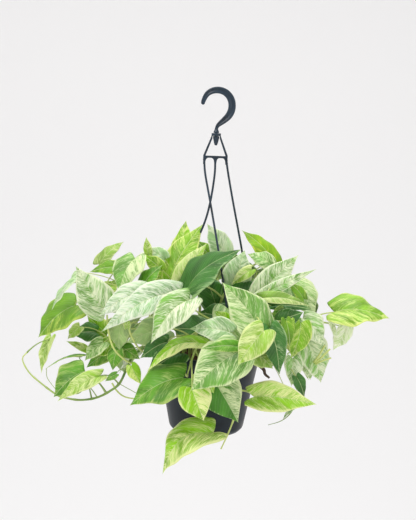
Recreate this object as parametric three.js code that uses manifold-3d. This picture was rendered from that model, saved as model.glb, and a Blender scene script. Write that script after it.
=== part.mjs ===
// A marble queen pothos growing in a hanging nursery pot.
// Millimetres, +Z up, +X to the right of the front view, -Y towards the viewer.
// The origin is the inner crown of the hook, the point that bears on a ceiling hook or rail.
import * as THREE from 'three';
import { mergeVertices } from 'three/addons/utils/BufferGeometryUtils.js';
import Module from 'manifold-3d';

// Driving dimensions of the pot
const RIM_RADIUS = 86;
const RIM_Z = -384;
const RIM_BEVEL = 1.2;
const FLANGE = 1.8;
const SKIRT_DEPTH = 11;
const SKIRT_WALL = 1.5;
const POT_HEIGHT = 122;
const POT_TOP_RADIUS = 79;
const POT_FOOT_RADIUS = 56;
const POT_WALL = 1.6;
const FOOT_BEVEL = 6;
const DRAIN_RADIUS = 4.5;
const DRAIN_RING = 32;
const DRAIN_COUNT = 6;
const POT_SIDES = 32;
const SOIL_BELOW_RIM = 15;
const SOIL_MOUND = 4;

// Driving dimensions of the hook and the hanger
const NECK_RADIUS = 2.4;
const NECK_COLLAR = 4.1;
const PLATE_TOP = -58;
const PLATE_THICKNESS = 4;
const PLATE_RADIUS = 7;
const PLATE_BORE = 2.9;
const BARB_RADIUS = 4.6;
const BARB_TIP = -76;
const BAR_Z = -93;
const BAR_HALF = 16.5;
const BAR_HALF_HEIGHT = 1.6;
const HEAD_THICKNESS = 3;
const HEAD_HALF = 7.2;
const WINDOW_HALF = 5.4;
const GUSSET = 6.5;
const GUSSET_DROP = 11;
const ARM_HALF = 1.7;
const STRAND_RADIUS = 1.6;
const LUG_RADIUS = 81.9;
const LUG_HOLE = 1.9;
const LUG_NECK = 1.25;
const LUG_BARB = 2.2;
const LUG_BARB_LENGTH = 7;
const FIRST_LUG = -65;

// Driving dimensions of the plant
const STEM_RADIUS = 2.1;
const STEM_TAPER = 0.7;
const STEM_HOLE = 3;
const STALK_RADIUS = 1.2;
const BLADE_THICKNESS = 0.9;
const ROOT_DEPTH = 24;
const LEAF_GAP = 3;
const INTERNODE = 24;
const LARGE_WIDTH = 62;
const SOLID_WIDTH = 27;
const STALK_SEAT = 0.45;

// Clearance between pieces that only touch
const GAP = 0.3;
const HARD_GAP = 0.45;

// The front view: the plant was measured in a picture of 416 by 520 taken from this eye point.
const VIEW = { eye: [-5.7, -1637.7, -46.2], centre: [208, 260], focal: 1100, down: 7, roll: 2 };

const wasm = await Module();
wasm.setup();

const vec = (x, y, z) => new THREE.Vector3(x, y, z);
const radians = THREE.MathUtils.degToRad;
const polar = (radius, angle, z) => vec(
  radius * Math.cos(radians(angle)), radius * Math.sin(radians(angle)), z,
);

// The point of the front view's pixel (px, py) that lies at depth y.
function seen([px, py, y]) {
  const a = (px - VIEW.centre[0]) / VIEW.focal;
  const b = (VIEW.centre[1] - py) / VIEW.focal;
  const roll = radians(VIEW.roll);
  const down = radians(VIEW.down);
  const right = a * Math.cos(roll) - b * Math.sin(roll);
  const up = a * Math.sin(roll) + b * Math.cos(roll);
  const ray = vec(right, Math.cos(down) + up * Math.sin(down), up * Math.cos(down) - Math.sin(down));
  const eye = vec(...VIEW.eye);
  return eye.clone().addScaledVector(ray, (y - eye.y) / ray.y);
}

// A closed geometry as a solid that can be joined and cut.
function solid(geometry) {
  const bare = geometry.clone();
  bare.deleteAttribute('normal');
  bare.deleteAttribute('uv');
  const merged = mergeVertices(bare, 1e-4);
  const triVerts = new Uint32Array(merged.index.array);
  const make = () => new wasm.Manifold(new wasm.Mesh({
    numProp: 3, vertProperties: merged.attributes.position.array, triVerts,
  }));
  const made = make();
  if (made.volume() >= 0) return made;
  for (let i = 0; i < triVerts.length; i += 3) {
    [triVerts[i], triVerts[i + 1]] = [triVerts[i + 1], triVerts[i]];
  }
  return make();
}

const joined = (solids) => wasm.Manifold.union(solids);

// A named mesh from a solid.
function piece(name, made, material) {
  const mesh = made.getMesh();
  const stride = mesh.numProp;
  const positions = new Float32Array(mesh.numVert * 3);
  for (let i = 0; i < mesh.numVert; i++) {
    positions.set(mesh.vertProperties.subarray(i * stride, i * stride + 3), i * 3);
  }
  const geometry = new THREE.BufferGeometry();
  geometry.setAttribute('position', new THREE.BufferAttribute(positions, 3));
  geometry.setIndex(new THREE.BufferAttribute(mesh.triVerts, 1));
  geometry.computeVertexNormals();
  const result = new THREE.Mesh(geometry, material);
  result.name = name;
  return result;
}

// A closed skin over rings of equal count, its two ends closed by flat fans.
function loft(rings) {
  const count = rings[0].length;
  const points = rings.flat();
  const index = [];
  rings.slice(1).forEach((_, r) => {
    for (let i = 0; i < count; i++) {
      const a = r * count + i;
      const b = r * count + (i + 1) % count;
      index.push(a, b, a + count, b, b + count, a + count);
    }
  });
  const last = (rings.length - 1) * count;
  for (let i = 1; i < count - 1; i++) {
    index.push(0, i + 1, i);
    index.push(last, last + i, last + i + 1);
  }
  return new THREE.BufferGeometry().setFromPoints(points).setIndex(index);
}

// A tube of few sides through points, its radius running from the first value to the second.
function tube(points, radii, sides) {
  let across = null;
  const rings = points.map((point, i) => {
    const before = points[Math.max(i - 1, 0)];
    const after = points[Math.min(i + 1, points.length - 1)];
    const along = after.clone().sub(before).normalize();
    if (!across) across = Math.abs(along.z) < 0.9 ? vec(0, 0, 1) : vec(1, 0, 0);
    across = across.clone().addScaledVector(along, -across.dot(along)).normalize();
    const third = along.clone().cross(across);
    const radius = THREE.MathUtils.lerp(radii[0], radii[1], i / (points.length - 1));
    return Array.from({ length: sides }, (_, k) => {
      const angle = (2 * Math.PI * k) / sides;
      return point.clone()
        .addScaledVector(across, radius * Math.cos(angle))
        .addScaledVector(third, radius * Math.sin(angle));
    });
  });
  return loft(rings);
}

// A turned solid from a profile of [radius, z] points.
function turned(profile, sides) {
  const points = profile.map(([radius, z]) => new THREE.Vector2(radius, z));
  return solid(new THREE.LatheGeometry(points, sides).rotateX(Math.PI / 2));
}

function cylinder(radius, top, bottom, sides, at = vec(0, 0, 0)) {
  const made = new THREE.CylinderGeometry(radius, radius, top - bottom, sides);
  return solid(made.rotateX(Math.PI / 2).translate(at.x, at.y, (top + bottom) / 2));
}

const curve = (points, steps) => new THREE.CatmullRomCurve3(points).getPoints(steps);

// The hook: a crescent with a channel in each face, on a neck that ends in a barb.
function makeHook() {
  const spine = [
    [-21.3, -17, 2.6, 2.4], [-20.6, -11.5, 3.2, 3.0], [-15.2, -1.1, 4.0, 3.5], [-8.0, 3.7, 4.6, 3.8],
    [0.3, 5.2, 5.0, 4.0], [8.6, 3.5, 5.1, 4.0], [15.5, -1.2, 5.2, 4.0], [20.3, -8.5, 5.4, 4.0],
    [21.9, -17, 5.5, 4.0], [20.8, -25, 5.5, 4.0], [17.2, -32.2, 5.3, 3.9], [11.4, -38.2, 4.7, 3.6],
    [5.6, -43.2, 3.7, 3.2], [1.8, -47, 2.9, 2.8], [0.2, -50.5, 2.4, 2.4], [0, -53, 2.2, 2.2],
  ];
  const section = [
    [1, -0.45], [1, 0.45], [0.74, 1], [0.4, 1], [0, 0.62], [-0.4, 1], [-0.74, 1],
    [-1, 0.45], [-1, -0.45], [-0.74, -1], [-0.4, -1], [0, -0.62], [0.4, -1], [0.74, -1],
  ];
  const rings = spine.map(([x, z, half, width], i) => {
    const before = spine[Math.max(i - 1, 0)];
    const after = spine[Math.min(i + 1, spine.length - 1)];
    const along = vec(after[0] - before[0], 0, after[1] - before[1]).normalize();
    const across = vec(-along.z, 0, along.x);
    return section.map(([r, y]) => vec(x, y * width, z).addScaledVector(across, r * half));
  });
  const plateUnder = PLATE_TOP - PLATE_THICKNESS;
  const neckTop = PLATE_TOP + 8;
  const barb = turned([
    [0, BARB_TIP], [1.7, BARB_TIP], [3.1, BARB_TIP + 4], [BARB_RADIUS, plateUnder - 3],
    [BARB_RADIUS, plateUnder - GAP], [NECK_RADIUS, plateUnder - GAP], [NECK_RADIUS, PLATE_TOP + GAP],
    [NECK_COLLAR, PLATE_TOP + GAP], [NECK_COLLAR, PLATE_TOP + 2], [2.6, PLATE_TOP + 5.5],
    [NECK_RADIUS, neckTop], [0, neckTop],
  ], 12);
  return solid(loft(rings)).add(barb);
}

// The flat head of the hanger: a pierced plate, two arms and the bar, with rounded gussets under the bar.
function makeHead(grow) {
  const under = PLATE_TOP - PLATE_THICKNESS;
  const foot = BAR_Z - GUSSET_DROP;
  const barUnder = BAR_Z - BAR_HALF_HEIGHT;
  const outer = new THREE.Shape();
  outer.moveTo(-HEAD_HALF - grow, PLATE_TOP + grow);
  outer.lineTo(-HEAD_HALF - grow, under - 1);
  outer.lineTo(-BAR_HALF - ARM_HALF - grow, BAR_Z + 2);
  outer.lineTo(-BAR_HALF - STRAND_RADIUS - grow, foot);
  outer.lineTo(-BAR_HALF + STRAND_RADIUS, foot);
  outer.quadraticCurveTo(-BAR_HALF + STRAND_RADIUS, barUnder, -BAR_HALF + GUSSET, barUnder - grow);
  outer.lineTo(-GUSSET, barUnder - grow);
  outer.quadraticCurveTo(-STRAND_RADIUS, barUnder, -STRAND_RADIUS, foot);
  outer.lineTo(STRAND_RADIUS, foot);
  outer.quadraticCurveTo(STRAND_RADIUS, barUnder, GUSSET, barUnder - grow);
  outer.lineTo(BAR_HALF - GUSSET, barUnder - grow);
  outer.quadraticCurveTo(BAR_HALF - STRAND_RADIUS, barUnder, BAR_HALF - STRAND_RADIUS, foot);
  outer.lineTo(BAR_HALF + STRAND_RADIUS + grow, foot);
  outer.lineTo(BAR_HALF + ARM_HALF + grow, BAR_Z + 2);
  outer.lineTo(HEAD_HALF + grow, under - 1);
  outer.lineTo(HEAD_HALF + grow, PLATE_TOP + grow);
  const window = new THREE.Path();
  window.moveTo(-WINDOW_HALF, under);
  window.lineTo(-WINDOW_HALF, under - 4);
  window.lineTo(-BAR_HALF + ARM_HALF, BAR_Z + BAR_HALF_HEIGHT);
  window.lineTo(BAR_HALF - ARM_HALF, BAR_Z + BAR_HALF_HEIGHT);
  window.lineTo(WINDOW_HALF, under - 4);
  window.lineTo(WINDOW_HALF, under);
  outer.holes.push(window);
  const depth = HEAD_THICKNESS + 2 * grow;
  const flat = new THREE.ExtrudeGeometry(outer, { depth, bevelEnabled: false, curveSegments: 3 });
  const plate = cylinder(PLATE_RADIUS + grow, PLATE_TOP + grow, under - grow, 16);
  const bore = cylinder(PLATE_BORE, PLATE_TOP + 5, under - 5, 16);
  return solid(flat.rotateX(Math.PI / 2).translate(0, depth / 2, 0)).add(plate).subtract(bore);
}

const LUGS = [0, 1, 2].map((k) => FIRST_LUG + 120 * k);

// The three strands leave the bar side by side and spread to the lugs in the pot's rim.
const STRANDS = [
  { lug: LUGS[0], path: [[-16.5, 0, -97], [-14.8, -1, -115], [-5, -13, -161], [10, -34, -233], [18, -47, -275],
    [26, -60, -319], [33, -71, -355]] },
  { lug: LUGS[1], path: [[16.5, 0, -97], [18.5, 1, -110], [28, 12, -156], [39.5, 27, -207], [47.5, 38, -245],
    [56, 52, -300], [53, 64, -350]] },
  { lug: LUGS[2], path: [[0, 0, -97], [-0.2, 1, -118], [-5.5, 2, -161], [-13, 3, -192], [-31, 4, -235],
    [-55, 5, -284], [-76, 6.5, -338]] },
];

function makeHanger(grow = 0) {
  const parts = [makeHead(grow)];
  for (const { lug, path } of STRANDS) {
    const seat = polar(LUG_RADIUS, lug, 0);
    const above = [12, 5].map((rise) => vec(seat.x, seat.y, RIM_Z + rise));
    const points = [...path.map((p) => vec(...p)), ...above];
    parts.push(solid(tube(curve(points, 12), [STRAND_RADIUS + grow, STRAND_RADIUS + grow], 6)));
    const under = RIM_Z - FLANGE - GAP;
    const tip = under - LUG_BARB_LENGTH;
    const barb = turned([
      [0, tip - grow], [0.8 + grow, tip - grow], [LUG_BARB + grow, under - 2],
      [LUG_BARB + grow, under + grow], [LUG_NECK + grow, under + grow],
      [LUG_NECK + grow, RIM_Z + 6], [0, RIM_Z + 6],
    ], 6);
    parts.push(barb.translate([seat.x, seat.y, 0]));
  }
  return joined(parts);
}

// The pot: a tapered wall on a bevelled foot, a flanged rim with a skirt, lug holes and drain holes.
function makePot(grow = 0) {
  const foot = RIM_Z - POT_HEIGHT;
  const slope = (POT_TOP_RADIUS - POT_FOOT_RADIUS) / (POT_HEIGHT - FOOT_BEVEL);
  const insideFoot = POT_FOOT_RADIUS - POT_WALL - grow;
  const underFlange = RIM_Z - FLANGE - grow;
  const underSkirt = RIM_Z - SKIRT_DEPTH - grow;
  const wall = turned([
    [0, foot - grow], [POT_FOOT_RADIUS - FOOT_BEVEL, foot - grow],
    [POT_FOOT_RADIUS + grow, foot + FOOT_BEVEL],
    [POT_TOP_RADIUS - slope * FLANGE + grow, underFlange],
    [RIM_RADIUS - SKIRT_WALL - grow, underFlange], [RIM_RADIUS - SKIRT_WALL - grow, underSkirt],
    [RIM_RADIUS + grow, underSkirt], [RIM_RADIUS + grow, RIM_Z - RIM_BEVEL + grow],
    [RIM_RADIUS - RIM_BEVEL + grow, RIM_Z + grow], [POT_TOP_RADIUS - POT_WALL - grow, RIM_Z + grow],
    [insideFoot, foot + FOOT_BEVEL], [POT_FOOT_RADIUS - FOOT_BEVEL - 0.6, foot + POT_WALL + grow],
    [0, foot + POT_WALL + grow],
  ], POT_SIDES);
  if (grow) return wall;
  const holes = LUGS.map((lug) => cylinder(LUG_HOLE, RIM_Z + 2, RIM_Z - 4, 8, polar(LUG_RADIUS, lug, 0)));
  for (let k = 0; k < DRAIN_COUNT; k++) {
    holes.push(cylinder(DRAIN_RADIUS, foot + 5, foot - 5, 8, polar(DRAIN_RING, (360 * k) / DRAIN_COUNT, 0)));
  }
  return wall.subtract(joined(holes));
}

const SOIL_Z = RIM_Z - SOIL_BELOW_RIM;

// The potting mix fills the pot and rises a little to the middle, with a plain hole for each stem.
function makeSoil(vines) {
  const foot = RIM_Z - POT_HEIGHT;
  const rise = (POT_TOP_RADIUS - POT_FOOT_RADIUS) * (1 - SOIL_BELOW_RIM / (POT_HEIGHT - FOOT_BEVEL));
  const mound = turned([
    [0, foot + POT_WALL + GAP], [POT_FOOT_RADIUS - FOOT_BEVEL - 1.4, foot + POT_WALL + GAP],
    [POT_FOOT_RADIUS - POT_WALL - GAP, foot + FOOT_BEVEL + GAP],
    [POT_FOOT_RADIUS + rise - POT_WALL - GAP - 0.2, SOIL_Z],
    [POT_TOP_RADIUS * 0.6, SOIL_Z + SOIL_MOUND * 0.7], [POT_TOP_RADIUS * 0.25, SOIL_Z + SOIL_MOUND],
    [0, SOIL_Z + SOIL_MOUND],
  ], POT_SIDES / 2);
  const holes = vines.map(({ root }) => cylinder(
    STEM_HOLE, SOIL_Z + 20, SOIL_Z - ROOT_DEPTH - 1, 6, vec(root[0], root[1], 0)));
  return mound.subtract(joined(holes));
}

// A leaf blade between the end of its stalk and its tip. Its face looks along `face`, turned by `turn`
// degrees about the midrib, and the spreading below moves it along `out`.
class Leaf {
  constructor(base, tip, width, turn, bow, face, out) {
    this.base = base;
    this.tip = tip;
    this.width = width;
    this.bow = bow;
    this.out = out;
    this.length = tip.distanceTo(base);
    this.along = tip.clone().sub(base).normalize();
    this.normal = face.clone().addScaledVector(this.along, -face.dot(this.along)).normalize();
    this.normal.applyAxisAngle(this.along, radians(turn));
    this.side = this.along.clone().cross(this.normal);
    this.phase = (this.width * 7 + this.length * 3) % 6.28;
    this.shift = 0;
  }

  // The middle of the blade's thickness: u runs from the stalk to the tip, v from edge to edge.
  at(u, v) {
    const half = 0.5 * this.width * (1 - u) ** 1.4 * (0.74 + 3.02 * u);
    const lobe = 0.15 * this.length * (1 - u) ** 4 * Math.sin(0.72 * Math.PI * Math.abs(v));
    const fold = FOLD * Math.abs(v) * half * (1 - 0.5 * u);
    const wave = WAVE * this.width * v * v * Math.sin(this.phase + 9 * u + 1.5 * v) * (1 - u);
    const lift = this.bow * this.length * Math.sin(Math.PI * u ** 0.8) + fold + wave;
    return this.base.clone()
      .addScaledVector(this.out, this.shift)
      .addScaledVector(this.along, u * this.length - lobe)
      .addScaledVector(this.side, v * half)
      .addScaledVector(this.normal, lift);
  }

  normalAt(u, v) {
    const step = 0.02;
    const low = THREE.MathUtils.clamp(u, step, 0.9);
    const du = this.at(low + step, v).sub(this.at(low - step, v));
    const dv = this.at(low, v + step).sub(this.at(low, v - step));
    return dv.cross(du).normalize();
  }

  // The middle surface as a few plain triangles.
  facets() {
    const rows = [0, 0.25, 0.6, 0.98].map((u) => [-1, 0, 1].map((v) => this.at(u, v)));
    return rows.slice(1).flatMap((row, r) => [0, 1].flatMap((c) => [
      [rows[r][c], rows[r][c + 1], row[c]], [rows[r][c + 1], row[c + 1], row[c]],
    ]));
  }

  // The closed blade, or with `grow` the room that other pieces keep clear of.
  solid(grow = 0) {
    const rows = [0, 0.25, 0.6];
    const columns = this.width > LARGE_WIDTH ? [-1, -0.55, 0, 0.55, 1] : [-1, 0, 1];
    const count = columns.length;
    const faces = [0.5, -0.5].map((sign) => {
      const thick = sign * (BLADE_THICKNESS + 2 * grow);
      const points = rows.flatMap((u) => columns.map((v) => this.at(u, v)
        .addScaledVector(this.normalAt(u, v), thick)
        .addScaledVector(this.side, grow * Math.sign(v))
        .addScaledVector(this.along, u === 0 ? -grow : 0)));
      points.push(this.at(1, 0)
        .addScaledVector(this.normalAt(1, 0), thick)
        .addScaledVector(this.along, 2 * grow));
      return points;
    });
    const back = faces[0].length;
    const tipIndex = back - 1;
    const index = [];
    const both = (a, b, c) => index.push(a, b, c, back + a, back + c, back + b);
    for (let r = 0; r < rows.length - 1; r++) {
      for (let c = 0; c < count - 1; c++) {
        const k = r * count + c;
        both(k, k + 1, k + count);
        both(k + 1, k + count + 1, k + count);
      }
    }
    const lastRow = (rows.length - 1) * count;
    for (let c = 0; c < count - 1; c++) both(lastRow + c, lastRow + c + 1, tipIndex);
    const edge = [...columns.keys()];
    for (let r = 1; r < rows.length; r++) edge.push(r * count + count - 1);
    edge.push(tipIndex);
    for (let r = rows.length - 1; r > 0; r--) edge.push(r * count);
    edge.forEach((a, i) => {
      const b = edge[(i + 1) % edge.length];
      index.push(b, a, back + a, b, back + a, back + b);
    });
    return solid(new THREE.BufferGeometry().setFromPoints(faces.flat()).setIndex(index));
  }
}

// Leaves that show in the front view face the viewer, the light above and their own side of the pot.
const TO_EYE = vec(0, -0.99, 0.12).normalize();
const LEAST_FACING = 0.6;
const LOW_LEAF_Z = -420;
const LEAF_RISE = 180;
const FACE_FORWARD = 0.8;
const FACE_SIDE = 0.0034;
const FACE_UP_LOW = 0.42;
const FACE_UP_GAIN = 0.3;

// A leaf of the front view. Its true width is the seen width made good for the slant of its face.
function frontLeaf([base, tip, seenWidth, turn, bow]) {
  const from = seen(base);
  const climb = THREE.MathUtils.clamp((from.z - LOW_LEAF_Z) / LEAF_RISE, 0, 1);
  const face = vec(FACE_SIDE * from.x, -FACE_FORWARD, FACE_UP_LOW + FACE_UP_GAIN * climb);
  const make = (width) => new Leaf(from, seen(tip), width, turn, bow, face, TO_EYE);
  const facing = Math.abs(make(seenWidth).normal.dot(TO_EYE));
  return make(seenWidth / Math.max(facing, LEAST_FACING));
}

// The vines of the front and sides. A stem stands at `root` on the soil and runs through `path`, given as
// [px, py, depth]. A leaf row is the stalk's end, the tip, the width, the turn and the bow.
const FRONT_VINES = [
  { name: 'vine_left_high', root: [-38, -8], path: [[182, 342, -10], [166, 316, -20], [140, 300, -35],
    [112, 290, -42], [90, 283, -36]],
  leaves: [
    [[78, 305, -40], [40.5, 336.5, -60], 48, 4, 0.12], [[107, 309, -75], [78, 266, -85], 52, 0, 0.1],
    [[177, 294, -85], [104, 330, -130], 40, -8, 0.24], [[121, 268, -20], [90, 272, -30], 20, 0, 0.12],
    [[99, 264, 0], [123.5, 241.5, 5], 22, 0, 0.1], [[78, 281, -56], [55, 309, -64], 20, 25, 0.12],
    [[80, 272, -20], [69, 281, -26], 12, 10, 0.1], [[102, 296, -25], [119, 279, -10], 26, 0, 0.1],
    [[152, 302, 10], [124, 290, 12], 34, 0, 0.1], [[150, 294, -84], [101, 315, -112], 36, 0, 0.2],
  ] },
  { name: 'vine_top_left', root: [-18, 8], path: [[196, 340, 6], [189, 310, 0], [177, 290, -12],
    [163, 276, -20], [152, 262, -26]],
  leaves: [
    [[136, 259, -40], [120, 293, -70], 39, 0, 0.14], [[170, 280, 24], [203, 225, 60], 46, 0, 0.1],
    [[184, 262, 44], [186.5, 221, 60], 36, -20, 0.1], [[180, 281, -55], [207, 243, -50], 30, 10, 0.12],
    [[149, 254, -28], [146.5, 237, -30], 13, 0, 0.05], [[161, 270, -42], [143, 255, -50], 22, 0, 0.12],
    [[144, 285, -50], [163, 265, -46], 24, 0, 0.1], [[165, 259, 0], [147, 248, 6], 24, 0, 0.1],
  ] },
  { name: 'vine_top', root: [8, 20], path: [[214, 340, 18], [218, 312, 10], [226, 290, 5], [240, 273, 6],
    [254, 265, 8]],
  leaves: [
    [[187, 291, -60], [241, 249.5, -75], 50, -28, 0.12], [[234, 285, -34], [244.5, 250, -24], 44, 0, 0.1],
    [[224, 256, 20], [207, 224, 12], 36, 0, 0.1], [[270, 264, 0], [247, 254, 8], 24, 0, 0.1],
    [[274, 263, 14], [242, 230, 20], 30, 10, 0.1], [[251, 270, -56], [231, 285, -64], 18, 0, 0.1],
    [[213, 262, 40], [196, 240, 48], 30, 0, 0.1], [[216, 306, 4], [203, 272, 16], 44, 0, 0.1],
  ] },
  { name: 'vine_middle_left', root: [-28, -32], path: [[190, 346, -36], [196, 334, -56], [208, 327, -76],
    [222, 325, -90]],
  leaves: [
    [[190, 299, -112], [152.5, 341, -132], 44, 0, 0.26], [[204, 347, -110], [147, 371, -138], 24, 36, 0.24],
    [[180, 352, -95], [147, 374, -105], 38, 0, 0.14], [[230, 331, -125], [190, 327, -132], 34, 0, 0.12],
    [[231, 325, -115], [214, 311, -118], 20, 0, 0.1], [[166, 329, -66], [127, 342, -78], 42, 0, 0.12],
    [[168, 341, -84], [141, 357, -90], 28, 0, 0.14], [[204, 332, -40], [172, 328, -34], 44, 0, 0.1],
  ] },
  { name: 'vine_front_left', root: [-14, -52], path: [[198, 350, -58], [196, 349, -84], [191, 362, -106],
    [187, 376, -112]],
  leaves: [
    [[184, 376, -122], [131, 403, -132], 50, 22, 0.14], [[192, 384, -135], [204, 416, -134], 45, 0, 0.12],
    [[201, 372, -125], [214, 392, -130], 30, 0, 0.1],
  ] },
  { name: 'vine_front_trail', root: [18, -53], path: [[220, 348, -62], [228, 348, -88], [236, 362, -104],
    [237, 386, -104], [236, 410, -104], [233, 421, -106], [227, 436, -106], [221, 449, -106]],
  leaves: [
    [[236, 350, -130], [191.5, 386.5, -154], 63, 10, 0.14], [[211, 376, -114], [238, 421, -124], 62, 0, 0.12],
    [[254, 396, -112], [316, 403.5, -114], 40, -12, 0.1], [[213, 434, -116], [162.6, 474, -120], 42, 34, 0.35],
    [[254, 352, -128], [273, 369, -132], 30, 0, 0.1], [[238, 344, -138], [200, 346, -152], 16, 0, 0.12],
  ] },
  { name: 'vine_middle', root: [8, -22], path: [[216, 344, -26], [226, 328, -46], [240, 318, -68],
    [254, 322, -92], [262, 330, -106]],
  leaves: [
    [[228, 309, -80], [236, 348, -112], 46, 0, 0.12], [[261, 333, -120], [222, 282, -118], 56, 0, 0.1],
    [[262, 328.5, -150], [236.5, 362, -158], 41, 14, 0.1], [[236, 300, -60], [262, 282, -55], 40, 0, 0.1],
    [[228, 319, -24], [197, 313, -14], 40, 0, 0.1],
  ] },
  { name: 'vine_right_high', root: [38, -5], path: [[234, 342, -8], [240, 318, -20], [250, 302, -38],
    [263, 290, -50], [277, 282, -44]],
  leaves: [
    [[260, 294, -70], [299, 255, -60], 40, 0, 0.1], [[262, 295, -80], [317, 269, -75], 18, 15, 0.12],
    [[263, 298, -95], [310, 306, -92], 17, 0, 0.14], [[293, 285, -30], [316, 318, -45], 48, 0, 0.12],
    [[292, 304, 6], [266, 283, 14], 38, 0, 0.1], [[304, 299, -66], [288, 281, -60], 16, 0, 0.1],
  ] },
  { name: 'vine_right_mid', root: [42, -30], path: [[238, 347, -34], [252, 333, -52], [266, 322, -68],
    [281, 313, -76]],
  leaves: [
    [[273, 306, -78], [313.5, 310, -76], 14, 0, 0.1], [[283, 309, -84], [270, 322, -88], 17, 0, 0.1],
    [[280, 321, -90], [303, 312, -90], 28, 0, 0.1], [[300, 323, -92], [291, 358, -100], 38, 0, 0.12],
    [[269, 328, -122], [279, 374, -132], 36, 0, 0.12], [[258, 346, -104], [262, 369, -110], 26, 0, 0.1],
    [[285, 320, -104], [289, 346, -110], 18, 0, 0.1],
  ] },
  { name: 'vine_right_low', root: [55, 5], path: [[247, 343, 3], [264, 336, -8], [284, 344, -20],
    [302, 356, -26], [313, 365, -28]],
  leaves: [
    [[302, 318, -50], [323, 345, -58], 40, 0, 0.12], [[291, 357, -50], [290, 384, -56], 27, 0, 0.12],
    [[308, 342, -34], [321, 383, -46], 50, 0, 0.1], [[335, 312.5, -20], [390, 318.5, -28], 48, -24, 0.12],
    [[347, 327, 0], [334, 351, 6], 28, 0, 0.1], [[330, 322, -8], [335, 340, -12], 9, 0, 0.1],
    [[294, 374, -60], [302, 394, -62], 18, 0, 0.1], [[294, 408, -56], [283, 419, -58], 6, 40, 0.2],
    [[305, 350, -14], [310, 380, -20], 36, 0, 0.1],
  ] },
  { name: 'vine_left_trail', root: [-56, -12], path: [[166, 343, -22], [148, 346, -38], [133, 356, -52],
    [127, 368, -60], [119, 384, -62], [110, 391, -62], [97, 397.5, -62], [80, 400, -62], [66, 398, -62],
    [59, 396, -62], [42, 384, -60], [28, 371, -58], [22.5, 358, -56], [27, 352.5, -54]],
  leaves: [
    [[87, 369, -60], [57, 394, -76], 46, 0, 0.12], [[102, 374, -85], [61, 398, -92], 23, 0, 0.16],
    [[50, 339, -40], [40, 374, -48], 18, 0, 0.12], [[82, 356, -48], [47, 368, -54], 14, 55, 0.12],
    [[118, 372, -72], [107, 379, -76], 10, 0, 0.05], [[133, 364, -74], [142, 382, -78], 20, 0, 0.1],
    [[118, 350, -66], [113, 370, -72], 24, 0, 0.1],
  ] },
  { name: 'vine_left_low', root: [-52, 20], path: [[174, 343, 22], [150, 336, 22], [126, 337, 4],
    [108, 339, -14], [96, 338, -22]],
  leaves: [
    [[95, 333, -34], [71, 335, -40], 28, 0, 0.12], [[80, 327, -44], [68, 339, -48], 18, 0, 0.1],
    [[87, 350, -38], [66, 341, -44], 11, 20, 0.1], [[104, 342, -46], [86, 360, -54], 24, 0, 0.12],
    [[113, 343, -40], [97, 356, -46], 26, 0, 0.1], [[110, 353, -28], [86, 368, -36], 24, 0, 0.12],
    [[122, 325, -62], [120, 350, -66], 32, 0, 0.12], [[128, 327, -98], [128.5, 313, -98], 10, 0, 0.05],
    [[122, 345, -44], [141, 358, -46], 24, 0, 0.1], [[106, 334, -24], [86, 316, -18], 30, 0, 0.1],
  ] },
];

// The vines that the front view hides, set round the back and sides by rule from a seeded draw.
const BACK_VINES = [
  { name: 'vine_back_right', root: [52, 26], azimuth: 22 },
  { name: 'vine_back_right_outer', root: [34, 44], azimuth: 50 },
  { name: 'vine_back', root: [8, 54], azimuth: 78 },
  { name: 'vine_back_middle', root: [-16, 50], azimuth: 106 },
  { name: 'vine_back_left_outer', root: [-36, 42], azimuth: 134 },
  { name: 'vine_back_left', root: [-46, 30], azimuth: 160 },
];
const BACK_STEM = [[62, -350], [92, -332], [122, -338], [146, -362]];
const BACK_LEAVES = 6;
const BACK_SEED = 20431;
const BACK_Z = -362;
const LEAST_LOW_RADIUS = 136;
const BACK_CLIMB = 39;
const BACK_SWEEP = 66;
const BACK_REACH = 120;
const BACK_REACH_GAIN = 32;
const BACK_LENGTH = 54;
const BACK_LENGTH_GAIN = 26;
const BACK_TILT = 0.75;
const BACK_TURN = 30;

// Two short vines cover the middle of the pot, their leaves turned to the light above.
const CROWN_VINES = [
  { name: 'vine_crown_left', root: [-24, 24], path: [[-26, 22, -350], [-36, 30, -310], [-52, 40, -280]] },
  { name: 'vine_crown_right', root: [30, 20], path: [[32, 22, -350], [36, 34, -310], [50, 44, -280]] },
];
const CROWN_LEAVES = 3;
const CROWN_Z = -285;
const CROWN_CENTRE = [38, 34];
const CROWN_RADIUS = 34;
const CROWN_LENGTH = 50;

// The halves of a blade rise from the midrib by FOLD, and its edge waves by WAVE of its width.
const FOLD = 0.22;
const WAVE = 0.05;
const LEAF_BOW = 0.12;

// A repeatable draw between 0 and 1.
function drawer(seed) {
  let state = seed;
  return () => {
    state = (state * 48271) % 2147483647;
    return state / 2147483647;
  };
}

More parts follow.
